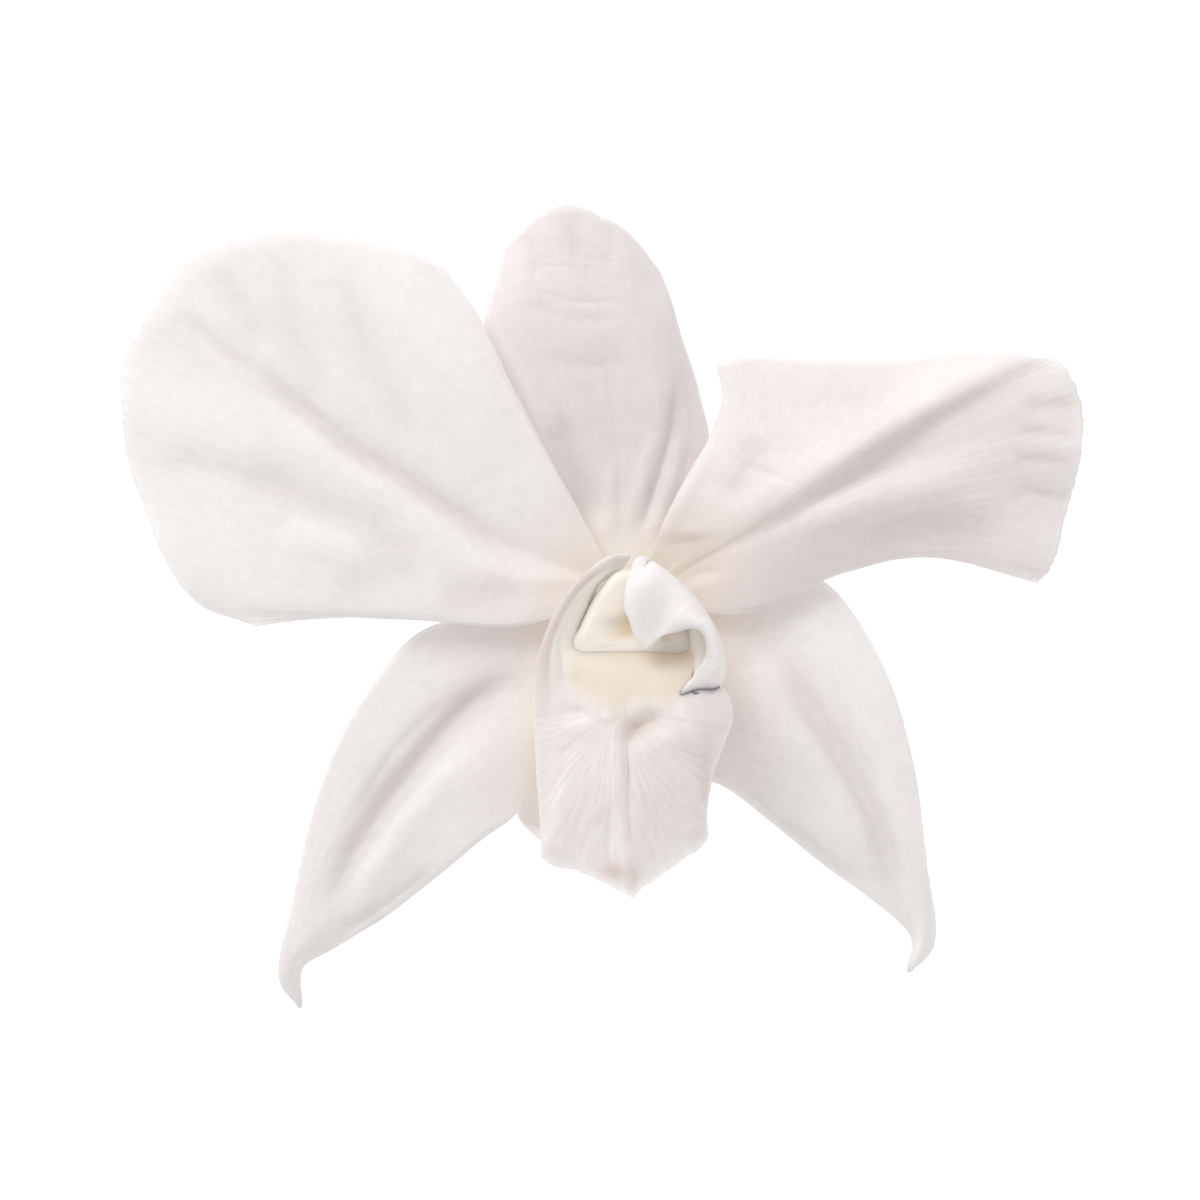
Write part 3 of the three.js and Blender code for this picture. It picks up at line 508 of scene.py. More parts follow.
# Folds of the right petal, and five fine grooves side by side across its fold
RIGHT_PETAL_FOLDS = [
    (0.15, 1.1, [[10.6, 6.9], [12.6, 8.6], [15.4, 10.3], [19.4, 12.5], [23.4, 15.3], [25.6, 17.0],
                 [31.8, 19.8]]),
    (-0.1, 0.9, [[13.6, 6.8], [16.4, 8.5], [20.4, 10.7], [24.4, 13.5], [26.6, 15.1], [32.6, 18.0]]),
    (0.45, 1.3, [[15.0, 6.3], [18.2, 7.7], [21.4, 8.7], [25.4, 9.5], [29.6, 9.8]]),
    (-0.4, 1.8, [[20.0, 5.6], [24.0, 6.4], [28.0, 6.6], [33.0, 6.0]]),
    (0.3, 0.9, [[4.6, 5.0], [5.8, 7.6], [7.4, 10.6], [8.8, 13.6]]),
    (-0.4, 1.8, [[7.2, 6.4], [7.4, 4.2], [8.0, 1.8]]),
    (-0.3, 1.3, [[9.6, 8.4], [11.6, 11.0], [12.6, 14.0]]),
    (-0.2, 0.6, [[33.4, 16.2], [36.4, 16.2], [38.0, 15.6]]),
    (-0.2, 0.55, [[33.0, 14.2], [36.0, 14.0], [38.0, 13.6]]),
    (-0.25, 0.6, [[32.6, 12.0], [36.0, 11.8], [38.0, 11.2]]),
    (-0.2, 0.6, [[32.6, 9.6], [35.6, 9.0], [37.6, 8.2]]),
]
for k in range(5):
    drop = 0.35 * k
    line = [[9.2 + k, 12.8 - drop], [11.6 + k, 11.4 - drop], [14.2 + 0.7 * k, 10.4 - drop]]
    RIGHT_PETAL_FOLDS.append((-0.05, 0.3, line))

# Folds of the upper sepal
DORSAL_FOLDS = [
    (-0.14, 0.7, [[-6.2, 30.6], [-5.8, 28.6], [-4.8, 26.4]]),
    (-0.12, 0.7, [[-2.2, 32.0], [-2.2, 30.0], [-1.6, 27.6]]),
    (-0.12, 0.7, [[0.8, 31.0], [0.7, 29.0], [0.2, 27.0]]),
    (0.25, 0.65, [[2.2, 6.0], [3.2, 10.0], [4.4, 14.6]]),
    (0.3, 0.6, [[3.6, 5.0], [5.2, 9.6], [6.4, 14.6]]),
    (-0.35, 0.7, [[2.8, 5.6], [4.2, 9.6], [5.4, 13.6], [6.0, 19.0]]),
    (0.15, 0.5, [[0.6, 5.4], [0.6, 9.0], [0.8, 12.0]]),
    (-0.45, 1.3, [[-0.6, 6.0], [-1.6, 9.4], [-3.0, 13.0], [-4.0, 16.0]]),
    (-0.1, 0.5, [[-6.6, 24.6], [-3.0, 23.4], [1.6, 23.0]]),
    (-0.08, 0.3, [[-5.0, 25.4], [-2.0, 24.6], [1.0, 24.6]]),
    (-0.1, 0.6, [[-5.6, 20.6], [-2.0, 19.6], [2.6, 19.8]]),
]

# Folds of the lower sepals
LEFT_SEPAL_FOLDS = [
    (-0.9, 1.3, [[-5.4, -5.0], [-9.4, -6.9], [-12.4, -9.7], [-15.6, -13.7], [-18.0, -16.9], [-20.0, -20.3],
                 [-22.4, -24.8]]),
    (-0.15, 0.5, [[-11.8, -6.2], [-16.0, -10.6], [-18.8, -14.5], [-20.4, -17.6]]),
    (0.35, 1.3, [[-11.0, -11.6], [-14.6, -15.6], [-17.6, -19.4], [-20.6, -23.6]]),
    (-0.3, 0.7, [[-13.0, -20.6], [-17.4, -23.8], [-21.4, -26.4]]),
]
RIGHT_SEPAL_FOLDS = [
    (-0.75, 1.3, [[13.6, -3.4], [16.5, -7.7], [18.7, -11.0], [20.5, -14.2], [22.0, -17.5], [23.5, -21.5],
                  [24.6, -25.0]]),
    (-0.15, 0.5, [[17.6, -4.2], [19.8, -8.9], [21.4, -12.1], [22.6, -15.3]]),
    (0.35, 1.3, [[13.4, -8.6], [16.6, -12.4], [19.2, -16.4], [21.6, -20.6]]),
    (-0.3, 0.7, [[13.6, -16.2], [17.6, -19.4], [21.8, -22.8]]),
]

# Folds of the lip's middle lobe
LIP_FOLDS = [
    (0.28, 0.42, [[1.0, -8.8], [1.2, -12.0], [1.5, -17.0], [1.9, -20.5], [2.3, -22.6]], 0.1, 0.05),
    (-0.25, 0.35, [[1.95, -9.4], [2.0, -12.0], [2.1, -16.0], [2.3, -20.0]]),
    (-0.75, 1.0, [[2.1, -11.4], [2.5, -10.0], [3.4, -9.1], [5.2, -8.7]]),
    (0.25, 0.35, [[1.8, -7.9], [2.8, -7.5], [4.0, -7.6], [5.2, -7.7]]),
    (0.3, 0.3, [[0.0, -8.7], [0.4, -8.5], [0.9, -8.7]]),
    (-0.25, 0.6, [[0.9, -15.0], [0.5, -18.0], [0.3, -21.4]]),
    (-0.35, 0.6, [[-4.8, -7.0], [-3.0, -8.0], [-0.6, -8.3]]),
    (0.25, 0.8, [[-4.6, -9.8], [-2.4, -9.6], [-0.4, -9.0]]),
    (0.3, 1.1, [[8.6, -9.6], [6.4, -9.8], [4.0, -10.8]]),
]

# Painted shade on the lip's middle lobe: in the hollow under its ridge and on its turned margins
LIP_SHADE_SPOTS = [
    [2.9, -9.3, 1.0, 0.7, 0.55], [1.0, -20.9, 1.6, 0.9, 0.85], [8.2, -13.4, 0.7, 3.4, 0.4],
    [7.6, -18.2, 1.2, 0.9, 0.3], [-4.2, -19.6, 0.9, 0.8, 0.3],
]

# The look of each petal and sepal: its folds, its thickness and that of its free edge, the number and height
# of its fine veins, the height of the teeth on its first side, last side and outer end, its wrinkles, which
# are strongest at their middle, its spots of painted shade, and the seed of its random draws
PETAL_LOOK = {
    "thickness": PETAL_THICKNESS, "edge": 0.16, "vein_count": 26,
    "wrinkles": {"across": 30, "outward": 24, "height": 0.012, "middle": 0.6},
}
LEFT_PETAL_LOOK = {
    **PETAL_LOOK, "folds": LEFT_PETAL_FOLDS, "waves": LEFT_WAVES, "vein_height": -0.03,
    "teeth": (0.1, 0.1, 0.22), "shade_spots": [[-27.0, 24.0, 12.0, 8.0, 0.25]], "seed": 11,
}
RIGHT_PETAL_LOOK = {
    **PETAL_LOOK, "folds": RIGHT_PETAL_FOLDS, "waves": RIGHT_WAVES, "vein_height": -0.045,
    "teeth": (0.05, 0.06, 0.15), "seed": 23,
    "shade_spots": [[17.0, 17.4, 7.0, 2.6, 0.5], [32.0, 12.6, 4.0, 2.5, 0.5]],
}
UPPER_SEPAL_LOOK = {
    "folds": DORSAL_FOLDS, "thickness": SEPAL_THICKNESS, "edge": 0.18, "vein_count": 13,
    "vein_height": -0.03, "teeth": (0.06, 0.04, 0.14), "seed": 37,
    "wrinkles": {"across": 7, "outward": 60, "height": 0.035, "middle": 0.7},
    "shade_spots": [[-2.0, 30.4, 7.0, 4.0, 0.8], [6.2, 19.0, 1.5, 7.0, 0.6], [6.6, 8.5, 1.2, 3.0, 0.5]],
}
LOWER_SEPAL_LOOK = {
    "thickness": SEPAL_THICKNESS, "edge": 0.2, "vein_count": 11, "vein_height": -0.03,
    "teeth": (0.06, 0.03, 0.0), "wrinkles": {"across": 10, "outward": 40, "height": 0.015, "middle": 0.5},
}
LEFT_SEPAL_LOOK = {
    **LOWER_SEPAL_LOOK, "folds": LEFT_SEPAL_FOLDS, "shade_spots": [[-16.2, -15.0, 2.6, 3.6, 0.35]], "seed": 41,
}
RIGHT_SEPAL_LOOK = {**LOWER_SEPAL_LOOK, "folds": RIGHT_SEPAL_FOLDS, "shade_spots": [], "seed": 47}


def lip_points(across, outward):
    """The lip is one sheet: claw, neck, throat with two side lobes, and middle lobe."""
    same = np.ones_like(across)
    claw = np.stack([
        LIP_CLAW["x"] + LIP_CLAW["halfWidth"] * (2 * across - 1), LIP_CLAW["y"] * same, LIP_CLAW["z"] * same,
    ], axis=1)
    turn = np.radians(smooth_through(LIP_VEIN_ANGLE, across))
    neck = np.stack([
        LIP_NECK["x"] + LIP_NECK["radius"] * np.sin(turn),
        LIP_NECK["y"] - LIP_NECK["radius"] * np.cos(turn),
        LIP_NECK["z"] * same,
    ], axis=1)
    throat = smooth_through(LIP_THROAT, across)
    rim = smooth_through(LIP_RIM, across)
    edge = smooth_through(LIP_EDGE, across)
    share = smooth_through(LIP_VEIN_SHARE, across)[:, None]
    arch = rim + share * (edge - rim)
    arch[:, 2] += smooth_through(LIP_VEIN_RISE, across)
    rows = np.stack([claw, neck, throat, rim, arch, edge])
    return np.swapaxes(smooth_through(rows, outward), 0, 1)


# Where the veins of the middle lobe spread from, and how far they run
LIP_CENTRE = (1.0, -8.4)
LIP_REACH = 14.5

# Parts of the lip: where each begins and where it is full, from its left side and from its base, and where
# it starts to fade and has gone towards its right side
MIDDLE_LOBE = {"left": (0.17, 0.22), "right": (0.61, 0.66), "base": (0.58, 0.66)}
RIGHT_LOBE = {"left": (0.7, 0.76), "right": (1.0, 1.1), "base": (0.6, 0.75)}
DISC = {"left": (0.12, 0.2), "right": (0.64, 0.72), "base": (0.3, 0.42)}
# The left margin is where shade is painted along the rolled free edge of the left side lobe
SHADED_LEFT_MARGIN = {"left": (0.03, 0.06), "right": (0.1, 0.2), "base": (0.74, 0.82)}

# The hollow under the middle lobe's ridge: its place, its half-width, how flat it is and how cream
POCKET = {"x": 3.0, "y": -9.2, "width": 1.6, "flatness": 1.4, "cream": 0.6}
LIP_EDGE_THICKNESS = 0.14
LIP_TEETH = (0.0, 0.0, 0.12)
LIP_TOOTH_STEP = 0.6


def zone(across, outward, part):
    """1 inside a part of the lip and 0 outside it, with soft borders."""
    sides = ease(*part["left"], across) * (1 - ease(*part["right"], across))
    return sides * ease(*part["base"], outward)


def lip_cream(points, across, outward, middle_lobe):
    """How cream the lip's inside is: the throat, the inner sides of its side lobes and the pocket."""
    throat = 1 - ease(0.56, 0.66, outward + 0.02 * noise(across * 12, outward * 3, 54))
    side = np.maximum(1 - ease(0.1, 0.17, across), ease(0.66, 0.7, across))
    cream = np.maximum(throat, 0.8 * side * (1 - ease(0.72, 0.8, outward)))
    beside = points[..., 0] - POCKET["x"]
    below = (points[..., 1] - POCKET["y"]) * POCKET["flatness"]
    pocket = bump(np.hypot(beside, below), 0, POCKET["width"]) * middle_lobe
    return np.maximum(cream, POCKET["cream"] * pocket)


def lip():
    shares, (across, outward) = grid(LIP_POINTS)
    points = lip_points(*shares)
    middle_lobe = zone(across, outward, MIDDLE_LOBE)
    folds = fold_relief(points, LIP_FOLDS) * middle_lobe
    beside = points[..., 0] - LIP_CENTRE[0]
    below = LIP_CENTRE[1] - points[..., 1]
    fan = np.arctan2(beside, np.maximum(below, 0.05) + 0.25) / math.pi + 0.5
    reach = np.hypot(beside, below) / LIP_REACH
    veins = vein_pattern(fan, reach, 34, 51)
    wrinkles = noise(fan * 60, reach * 9, 52)
    surface = (-0.10 * veins + 0.06 * wrinkles) * middle_lobe * ease(0.0, 0.3, reach)
    flap_veins = vein_pattern(across, outward, 60, 55) * zone(across, outward, RIGHT_LOBE)
    back_surface = -0.5 * surface - 0.05 * flap_veins
    shape = points - sheet_normals(points) * folds[..., None]
    shape = ragged_edges(shape, LIP_TEETH, LIP_TOOTH_STEP, 53)
    thickness = thinned(across, outward, LIP_THICKNESS, LIP_EDGE_THICKNESS, sides=False)
    cream = lip_cream(points, across, outward, middle_lobe)
    # Painted shade: the middle lobe's spots and the left side lobe's rolled edge are darkened in colour
    shade = soft_spots(points, LIP_SHADE_SPOTS) * middle_lobe + 0.8 * zone(across, outward, SHADED_LEFT_MARGIN)
    none = np.zeros_like(across)
    return blade("lip_sheet", shape, thickness, surface, back_surface, -1, {
        "across": 70 * fan, "outward": 8 * reach, "vein": (veins * middle_lobe, flap_veins),
        "cream": (cream, 0.5 * (1 - ease(0.2, 0.5, outward))), "outside": (none, none + 1),
        "disc": zone(across, outward, DISC), "shade": (shade, none),
    })


def chin():
    shares, (across, outward) = grid(CHIN_POINTS)
    x, y, z = smooth_through(CHIN_LINE, shares[1]).T
    half_width = smooth_through(CHIN_HALF_WIDTH, shares[1])
    depth = smooth_through(CHIN_DEPTH, shares[1])
    turn = (math.pi / 2 * (2 * shares[0] - 1))[:, None]
    points = np.stack([
        x + half_width * np.sin(turn), y + np.zeros_like(turn), z + depth * (1 - np.cos(turn)),
    ], axis=2)
    surface = 0.03 * noise(across * 14, outward * 12, 61)
    thickness = thinned(across, outward, CHIN_THICKNESS, 0.35)
    values = {"across": across, "outward": outward}
    return blade("chin_scoop", points, thickness, surface, surface, 1, values)


def ring_faces(rings, sides):
    """Quads between rings of points, and fans to the two points that are numbered after the rings."""
    middle = rings * sides
    top = middle - sides
    faces = []
    for side in range(sides):
        following = (side + 1) % sides
        for ring in range(0, top, sides):
            faces.append([ring + side, ring + following, ring + following + sides, ring + side + sides])
        faces.append([middle, following, side])
        faces.append([middle + 1, top + side, top + following])
    return faces


def ring_solid(name, rings, outward):
    """A closed solid through rings of points, each with its share outward. Fans close its ends."""
    rings = np.array(rings)
    count, sides = rings.shape[:2]
    points = np.concatenate([rings.reshape(-1, 3), [rings[0].mean(axis=0)], [rings[-1].mean(axis=0)]])
    faces = outward_faces(points, ring_faces(count, sides))
    shares = np.concatenate([np.repeat(outward, sides), [outward[0], outward[-1]]])
    return mesh_object(name, points, faces, {"outward": shares})


def column_tip(sides):
    """The outline of the column's tip, once round."""
    place = np.arange(sides) / sides
    half = smooth_through(COLUMN_TIP, 1 - np.abs(1 - 2 * place))
    facing = np.where(place <= 0.5, 1, -1)
    return np.stack([COLUMN["tipX"] + facing * half[:, 0], COLUMN["tipY"] + half[:, 1]], axis=1)


# The hollow in the column's face: where it is, its half-width and half-height, and its depth
STIGMA = {"x": 2.7, "y": -1.6, "halfWidth": 2.6, "halfHeight": 1.0, "depth": 0.7}

# How far the column's tip stands out, where along the column that begins and is full, how far its lower
# edge hangs down, and how much lower than its face its rim begins
COLUMN_WING = 0.8
WING_START = 0.6
WING_FULL = 0.86
LOWER_EDGE_DROP = 0.35
RIM_DEPTH = 0.3


def column():
    sides = 120
    turn = 2 * math.pi * np.arange(sides) / sides
    base = np.stack([
        HUB["x"] + COLUMN["baseRadius"] * np.sin(turn), HUB["y"] + COLUMN["baseRadius"] * np.cos(turn),
    ], axis=1)
    tip = column_tip(sides)
    along = np.roll(tip, -1, axis=0) - np.roll(tip, 1, axis=0)
    away = unit(np.stack([-along[:, 1], along[:, 0]], axis=1))
    sunk = LOWER_EDGE_DROP * ease(-1.8, -3.3, tip[:, 1])
    bottom = HUB["top"] + SEAT_GAP
    top = bottom + COLUMN["length"]
    rings = []
    for share in np.linspace(0, WING_FULL, 26):
        spread = ease(WING_START, WING_FULL, share)
        flat = base + share * (tip - base) + COLUMN_WING * spread * away
        rings.append(np.column_stack([flat, bottom + share * COLUMN["length"] - sunk * spread]))
    slope = (1 - WING_FULL) * COLUMN["length"] - RIM_DEPTH
    for roundness in np.linspace(0.1, 0.98, 12):
        flat = tip + COLUMN_WING * math.cos(math.pi / 2 * roundness) * away
        height = top - sunk - slope * (1 - math.sin(math.pi / 2 * roundness))
        rings.append(np.column_stack([flat, height]))
    shares = [0.0] * len(rings)
    middle = np.array([STIGMA["x"], STIGMA["y"]])
    for scale in np.linspace(0.98, 0.04, 26):
        flat = middle + scale * (tip - middle)
        reach = ((flat[:, 0] - STIGMA["x"]) / STIGMA["halfWidth"]) ** 2
        reach = reach + ((flat[:, 1] - STIGMA["y"]) / STIGMA["halfHeight"]) ** 2
        depth = STIGMA["depth"] * np.exp(-reach ** 1.5)
        rings.append(np.column_stack([flat, top - depth - sunk * scale ** 2]))
        shares.append(np.mean(np.exp(-reach)))
    return ring_solid("column_body", rings, shares)


# The shallow dent along the anther cap, front and back: its depth and half-width as shares of the radius
CAP_DENT = {"depth": 0.06, "width": 0.25}


def anther_cap():
    sides = 72
    bottom = HUB["top"] + COLUMN["length"] + 2 * SEAT_GAP
    turn = 2 * math.pi * np.arange(sides) / sides
    profile = [(lift, CAP["wall"]) for lift in np.linspace(0.48, 0, 12) * math.pi]
    profile += [(lift, 0) for lift in np.linspace(0, 0.49, 18) * math.pi]
    rings = []
    shares = []
    for lift, inset in profile:
        radius = (CAP["radius"] - inset) * math.cos(lift)
        height = (CAP["height"] - inset) * math.sin(lift)
        dent = 1 - CAP_DENT["depth"] * bump(np.sin(turn), 0, CAP_DENT["width"])
        rings.append(np.column_stack([
            CAP["x"] + radius * dent * np.sin(turn), CAP["y"] + radius * dent * np.cos(turn),
            np.full(sides, bottom + height),
        ]))
        shares.append(height / CAP["height"])
    return ring_solid("cap", rings, shares)


def pollen_bodies():
    sides = 64
    height = HUB["top"] + COLUMN["length"] + 2 * SEAT_GAP + POLLEN["lift"]
    turn = 2 * math.pi * np.arange(sides) / sides
    rings = []
    for lift in np.linspace(-0.48, 0.48, 22) * math.pi:
        lobes = 1 - POLLEN["lobeDepth"] * (1 - np.abs(np.sin(2 * turn)))
        radius = POLLEN["radius"] * math.cos(lift) * lobes
        rings.append(np.column_stack([
            CAP["x"] + radius * np.cos(turn), CAP["y"] + radius * np.sin(turn),
            np.full(sides, height + POLLEN["flatness"] * POLLEN["radius"] * math.sin(lift)),
        ]))
    return ring_solid("pollen_bodies", rings, np.zeros(len(rings)))


# Rings along the bent and the straight part of the stalk, the ring from which it lies flat, the depth and
# number of its ribs, and the wider top of the ovary
BENT_RINGS = 60
STRAIGHT_RINGS = 50
FLAT_FROM = 40
STALK_RIBS = {"depth": 0.025, "count": 6, "full": 12}
OVARY_TOP = {"wider": 0.5, "place": 0.02, "reach": 0.06}


def stalk():
    sides = 72
    resting = STALK_RADIUS * math.cos(math.pi / STALK_SIDES)
    line = [list(point) for point in OVARY_LINE]
    line[-1][2] = resting
    down = np.linspace(0, 1, BENT_RINGS)
    bent = smooth_through(line, down)
    widths = smooth_through(OVARY_RADII, down)
    widths = widths + OVARY_TOP["wider"] * bump(down, OVARY_TOP["place"], OVARY_TOP["reach"])
    straight = np.linspace(0, 1, STRAIGHT_RINGS)[1:, None]
    end = np.array([STALK_END["x"], STALK_END["y"], resting])
    centres = np.concatenate([bent, bent[-1] + straight * (end - bent[-1])])
    widths = np.concatenate([widths, np.full(len(straight), widths[-1])])
    turn = 2 * math.pi * np.arange(sides) / sides
    rings = []
    ahead = unit(np.gradient(centres, axis=0))
    ahead[BENT_RINGS:] = (0, 1, 0)
    for index, (centre, width) in enumerate(zip(centres, widths)):
        up = unit(np.cross((1.0, 0, 0), ahead[index]))
        beside = unit(np.cross(ahead[index], up))
        begun = ease(0, STALK_RIBS["full"], index)
        ribs = 1 - STALK_RIBS["depth"] * (0.5 + 0.5 * np.cos(STALK_RIBS["count"] * turn)) * begun
        radius = (width * resting / STALK_RADIUS if index > FLAT_FROM else width) * ribs
        rings.append(centre + np.outer(radius * np.cos(turn), beside) + np.outer(radius * np.sin(turn), up))
    shares = np.append(np.linspace(0, 1, len(rings)), 1.0)
    rings.append(end + (np.array(rings[-1]) - end) * 0.86 - np.array([0, 0.12, 0]))
    return ring_solid("ovary_and_stalk", rings, shares)


class Skin:
    """A material, and a method for each kind of node that makes its colour and relief."""

    def __init__(self, name):
        self.material = bpy.data.materials.new(name)
        self.material.use_nodes = True
        self.nodes = self.material.node_tree.nodes
        self.links = self.material.node_tree.links
        self.shader = self.nodes["Principled BSDF"]

    def plug(self, socket, value):
        """Gives a socket a number or a colour, or links another node's output to it."""
        if isinstance(value, (int, float)):
            socket.default_value = value
        elif isinstance(value, tuple):
            socket.default_value = (*value, 1)
        else:
            self.links.new(value, socket)

    def give(self, label, value):
        self.plug(self.shader.inputs[label], value)

    def finish(self, colour, roughness, shine):
        self.give("Base Color", colour)
        self.give("Roughness", roughness)
        self.give("Specular IOR Level", shine)

    def soft_flesh(self, weight, scale):
        self.give("Subsurface Weight", weight)
        self.give("Subsurface Scale", scale)
        self.shader.inputs["Subsurface Radius"].default_value = (1.0, 0.9, 0.8)

    def node(self, kind, settings, inputs, output):
        """A new node with its settings and inputs. What comes back is the output of this name or number."""
        node = self.nodes.new("ShaderNode" + kind)
        for label, value in settings.items():
            setattr(node, label, value)
        for label, value in inputs.items():
            self.plug(node.inputs[label], value)
        return node.outputs[output]

    def attribute(self, label):
        return self.node("Attribute", {"attribute_name": label}, {}, "Fac")

    def maths(self, operation, first, second):
        return self.node("Math", {"operation": operation}, {0: first, 1: second}, 0)

    def times(self, first, second):
        return self.maths("MULTIPLY", first, second)

    def weighted(self, parts):
        """The sum of the values, each times its weight."""
        shares = [self.times(value, weight) for value, weight in parts]
        total = shares[0]
        for share in shares[1:]:
            total = self.maths("ADD", total, share)
        return total

    def mixed(self, factor, first, second):
        """Two colours mixed. Inputs 6 and 7 and output 2 are the mix node's own for colours."""
        return self.node("Mix", {"data_type": "RGBA"}, {0: factor, 6: first, 7: second}, 2)

    def ramp(self, value, low, high):
        inputs = {"Value": value, "From Min": low, "From Max": high}
        return self.node("MapRange", {"interpolation_type": "SMOOTHSTEP"}, inputs, "Result")

    def noise(self, vector, scale, detail):
        return self.node("TexNoise", {}, {"Scale": scale, "Detail": detail, "Vector": vector}, "Fac")

    def object_noise(self, scale, detail):
        return self.noise(self.node("TexCoord", {}, {}, "Object"), scale, detail)

    def streaks(self, across_scale, outward_scale):
        """Noise that is stretched along the veins of a sheet."""
        place = self.node("CombineXYZ", {}, {
            "X": self.times(self.attribute("across"), across_scale),
            "Y": self.times(self.attribute("outward"), outward_scale),
        }, "Vector")
        return self.noise(place, 1.0, 3)

    def bump(self, height, strength, distance):
        inputs = {"Strength": strength, "Distance": distance, "Height": height}
        self.give("Normal", self.node("Bump", {}, inputs, "Normal"))


# Colours: the whites of the petals, sepals and lip, then the creams, the dark colour of the lip's painted
# shade and the greens
LEFT_WHITE = (0.825, 0.79, 0.785)
# The right petal's and upper sepal's whites are darker and the lower right sepal's lighter: painted shade
# and painted light for how each lies to the light
RIGHT_WHITE = (0.78, 0.735, 0.73)
UPPER_WHITE = (0.75, 0.705, 0.705)
LOWER_LEFT_WHITE = (0.83, 0.797, 0.793)
LOWER_RIGHT_WHITE = (0.86, 0.825, 0.82)
LIP_WHITE = (0.79, 0.735, 0.725)
LIP_SHADED = (0.68, 0.61, 0.60)
OUTER_WHITE = (0.915, 0.84, 0.815)
CREAM = (0.83, 0.735, 0.63)
DISC_CREAM = (0.72, 0.635, 0.545)
# The dark colour of the lip's painted shade
LIP_SHADE_COLOUR = (0.50, 0.43, 0.42)
# The chin's white is lighter than the other whites: painted light where it lies in shade under the lip
CHIN_WHITE = (0.96, 0.92, 0.89)
DEEP_CREAM = (0.78, 0.635, 0.42)
PALE_CREAM = (0.93, 0.87, 0.79)
GREEN_CREAM = (0.78, 0.76, 0.55)
POLLEN_YELLOW = (0.75, 0.52, 0.12)


def petal_material(name, white, base_colour, across_scale, base_reach):
    """White flesh with faint streaks and mottling and painted shade in its grooves and spots, its base in a
    deeper colour as far as base_reach.
    """
    skin = Skin(name)
    shaded = tuple(0.86 * value - 0.004 * place for place, value in enumerate(white))
    base = skin.ramp(skin.attribute("outward"), base_reach, 0.0)
    streaks = skin.streaks(across_scale, 9)
    patches = skin.object_noise(160, 3)
    mottled = skin.object_noise(1100, 5)
    # Streaks, patches, mottling and veins are the flesh's own tone; the darkening in grooves and spots is
    # painted shade
    tone_and_painted_shade = skin.weighted([
        (skin.ramp(streaks, 0.35, 0.75), 0.15), (skin.ramp(patches, 0.35, 0.7), 0.2),
        (skin.ramp(mottled, 0.35, 0.7), 0.2), (skin.attribute("vein"), 0.1), (skin.attribute("painted_shade"), 0.7),
    ])
    veined = skin.mixed(tone_and_painted_shade, white, shaded)
    skin.finish(skin.mixed(skin.times(base, 0.6), veined, base_colour), 0.55, 0.2)
    skin.soft_flesh(0.4, 0.0012)
    skin.bump(skin.weighted([(streaks, 0.25), (mottled, 1.2)]), 0.35, 0.0001)
    return skin.material


def lip_material():
    skin = Skin("lip_surface")
    veins = skin.attribute("vein")
    cream = skin.attribute("cream")
    streaks = skin.streaks(1, 1)
    mottled = skin.object_noise(900, 4)
    white = skin.mixed(skin.times(skin.ramp(streaks, 0.35, 0.75), 0.6), LIP_WHITE, LIP_SHADED)
    veined = skin.mixed(skin.times(veins, 0.5), white, LIP_SHADED)
    outer = skin.mixed(skin.times(veins, 0.35), OUTER_WHITE, LIP_SHADED)
    faced = skin.mixed(skin.attribute("outside"), veined, outer)
    inside = skin.mixed(skin.attribute("disc"), PALE_CREAM, DISC_CREAM)
    colour = skin.mixed(cream, faced, inside)
    # Painted shade: where the shade attribute is high, the colour goes towards the dark shade colour
    skin.finish(skin.mixed(skin.attribute("shade"), colour, LIP_SHADE_COLOUR), 0.5, 0.2)
    skin.soft_flesh(0.8, 0.0025)
    streaked = skin.times(streaks, skin.maths("SUBTRACT", 1.0, cream))
    skin.bump(skin.maths("ADD", streaked, mottled), 0.5, 0.00015)
    return skin.material


def fleshy_material(name, colour, tip_colour, roughness):
    """A waxy surface whose colour changes along the piece."""
    skin = Skin(name)
    mottled = skin.object_noise(500, 4)
    base = skin.mixed(skin.ramp(skin.attribute("outward"), 0.0, 1.0), colour, tip_colour)
    shaded = tuple(0.9 * value for value in colour)
    spots = skin.times(skin.ramp(mottled, 0.4, 0.7), 0.25)
    skin.finish(skin.mixed(spots, base, shaded), roughness, 0.35)
    skin.soft_flesh(0.3, 0.001)
    skin.bump(mottled, 0.4, 0.0001)
    return skin.material


def dress(piece, node, material):
    """Gives a piece its material, the node that it replaces and its body."""
    piece.data.materials.append(material)
    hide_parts(node)
    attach(piece, "root")


dress(sheet("left_petal", LEFT_PETAL_VEINS, PETAL_POINTS, LEFT_PETAL_LOOK), "petal_left",
      petal_material("left_petal_surface", LEFT_WHITE, CREAM, 120, 0.25))
dress(sheet("right_petal", RIGHT_PETAL_VEINS, PETAL_POINTS, RIGHT_PETAL_LOOK), "petal_right",
      petal_material("right_petal_surface", RIGHT_WHITE, CREAM, 120, 0.3))
dress(sheet("upper_sepal", DORSAL_SEPAL_VEINS, UPPER_SEPAL_POINTS, UPPER_SEPAL_LOOK), "dorsal_sepal",
      petal_material("upper_sepal_surface", UPPER_WHITE, PALE_CREAM, 60, 0.16))
dress(sheet("lower_left_sepal", LEFT_SEPAL_VEINS, LOWER_SEPAL_POINTS, LEFT_SEPAL_LOOK), "lateral_sepal_left",
      petal_material("lower_left_surface", LOWER_LEFT_WHITE, CREAM, 50, 0.18))
dress(sheet("lower_right_sepal", RIGHT_SEPAL_VEINS, LOWER_SEPAL_POINTS, RIGHT_SEPAL_LOOK),
      "lateral_sepal_right",
      petal_material("lower_right_surface", LOWER_RIGHT_WHITE, CREAM, 50, 0.28))
dress(lip(), "lip", lip_material())
dress(chin(), "chin", fleshy_material("chin_surface", CHIN_WHITE, CHIN_WHITE, 0.5))
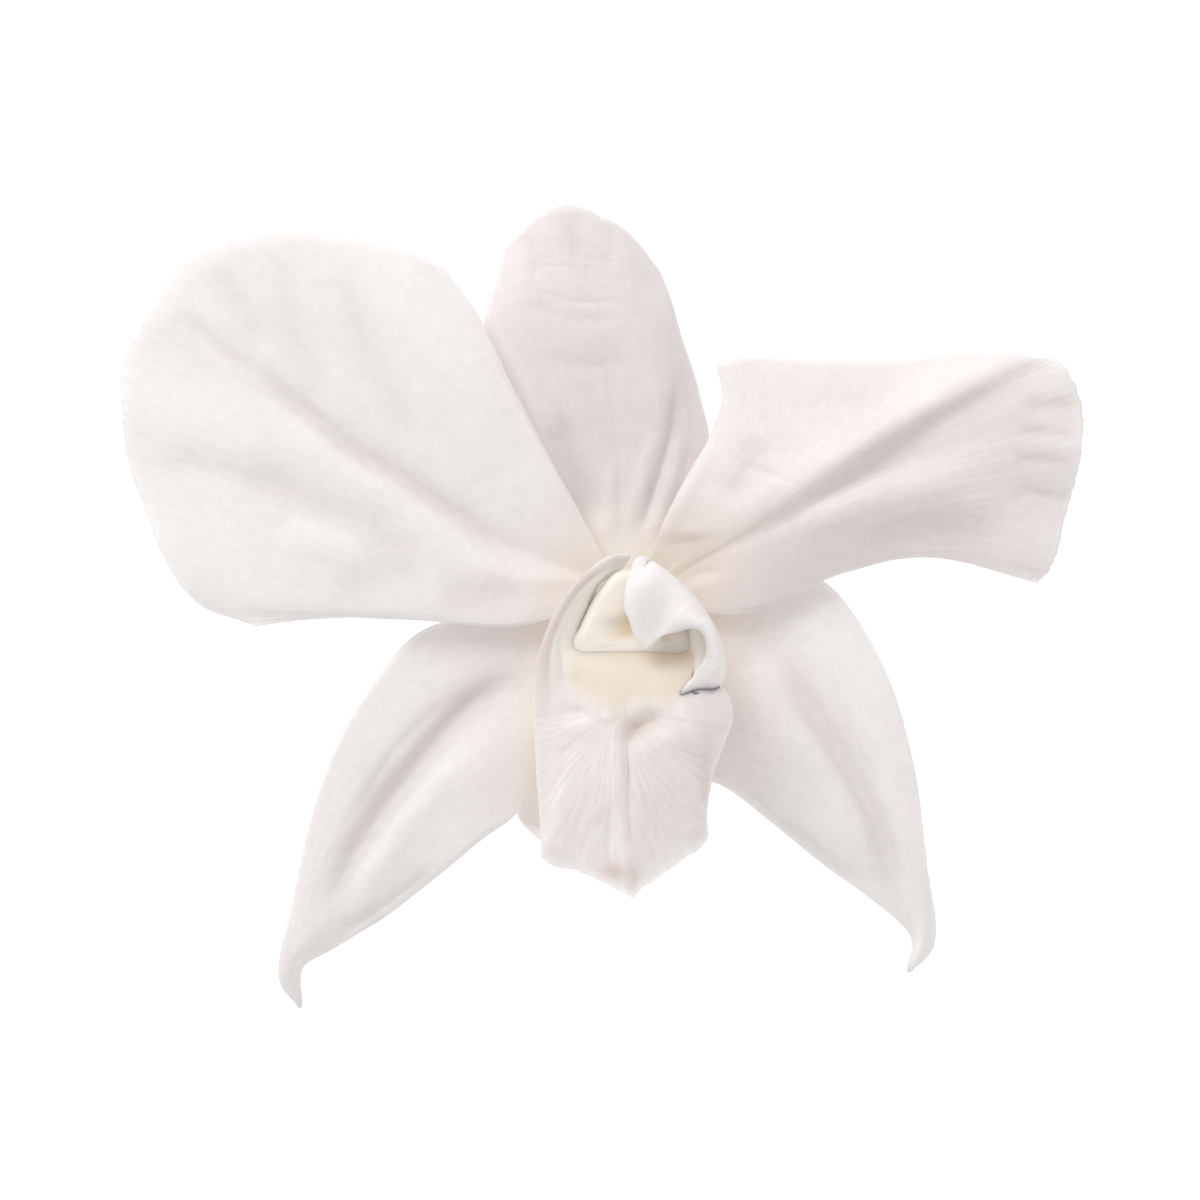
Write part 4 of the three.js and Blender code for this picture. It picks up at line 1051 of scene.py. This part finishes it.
dress(column(), "column", fleshy_material("column_surface", PALE_CREAM, DEEP_CREAM, 0.4))
dress(anther_cap(), "anther_cap", fleshy_material("cap_surface", CREAM, PALE_CREAM, 0.35))
dress(pollen_bodies(), "pollinia", fleshy_material("pollen_surface", POLLEN_YELLOW, POLLEN_YELLOW, 0.4))
dress(stalk(), "ovary_pedicel", fleshy_material("stalk_surface", CREAM, GREEN_CREAM, 0.45))


# The place of the photograph's middle in the part's frame, and the width that it shows, in millimetres
PICTURE_MIDDLE = (-0.2, 0.72)
PICTURE_WIDTH = 96
SUBJECT_HEIGHT = 11
LENS = 400
SENSOR = 36

# Half the floor's side, and the light's place and width, in metres. How strong floor, light and sky are.
FLOOR_REACH = 3.0
FLOOR_GREY = (0.5, 0.5, 0.5)
FLOOR_GLOW = 0.72
KEY_PLACE = (-0.5, 0.8, 0.85)
KEY_WIDTH = 0.6
KEY_POWER = 7.5
SKY_STRENGTH = 0.74
WHITE = (1, 1, 1)


def camera():
    data = bpy.data.cameras.new("camera")
    data.lens = LENS
    data.sensor_width = SENSOR
    data.clip_start = 0.01
    data.clip_end = 10
    seen = placed("camera", data)
    distance = PICTURE_WIDTH * LENS / SENSOR
    seen.location = (PICTURE_MIDDLE[0] * MM, PICTURE_MIDDLE[1] * MM, (SUBJECT_HEIGHT + distance) * MM)
    bpy.context.scene.camera = seen


def floor():
    mesh = bpy.data.meshes.new("floor")
    corners = [(FLOOR_REACH * x, FLOOR_REACH * y, 0) for x, y in ((-1, -1), (1, -1), (1, 1), (-1, 1))]
    mesh.from_pydata(corners, [], [(0, 1, 2, 3)])
    skin = Skin("floor_surface")
    skin.finish(FLOOR_GREY, 0.9, 0.1)
    skin.give("Emission Color", WHITE)
    skin.give("Emission Strength", FLOOR_GLOW)
    mesh.materials.append(skin.material)
    placed("floor", mesh)


def key_light():
    data = bpy.data.lights.new("key", "AREA")
    data.shape = "DISK"
    data.size = KEY_WIDTH
    data.energy = KEY_POWER
    lamp = placed("key", data)
    lamp.location = KEY_PLACE
    lamp.rotation_euler = mathutils.Vector(-np.array(KEY_PLACE)).to_track_quat("-Z", "Y").to_euler()


def sky():
    world = bpy.data.worlds.new("studio")
    world.use_nodes = True
    background = world.node_tree.nodes["Background"]
    background.inputs["Color"].default_value = (*WHITE, 1)
    background.inputs["Strength"].default_value = SKY_STRENGTH
    bpy.context.scene.world = world


camera()
floor()
sky()
key_light()
bpy.context.scene.view_settings.view_transform = "Standard"
bpy.context.scene.view_settings.look = "None"
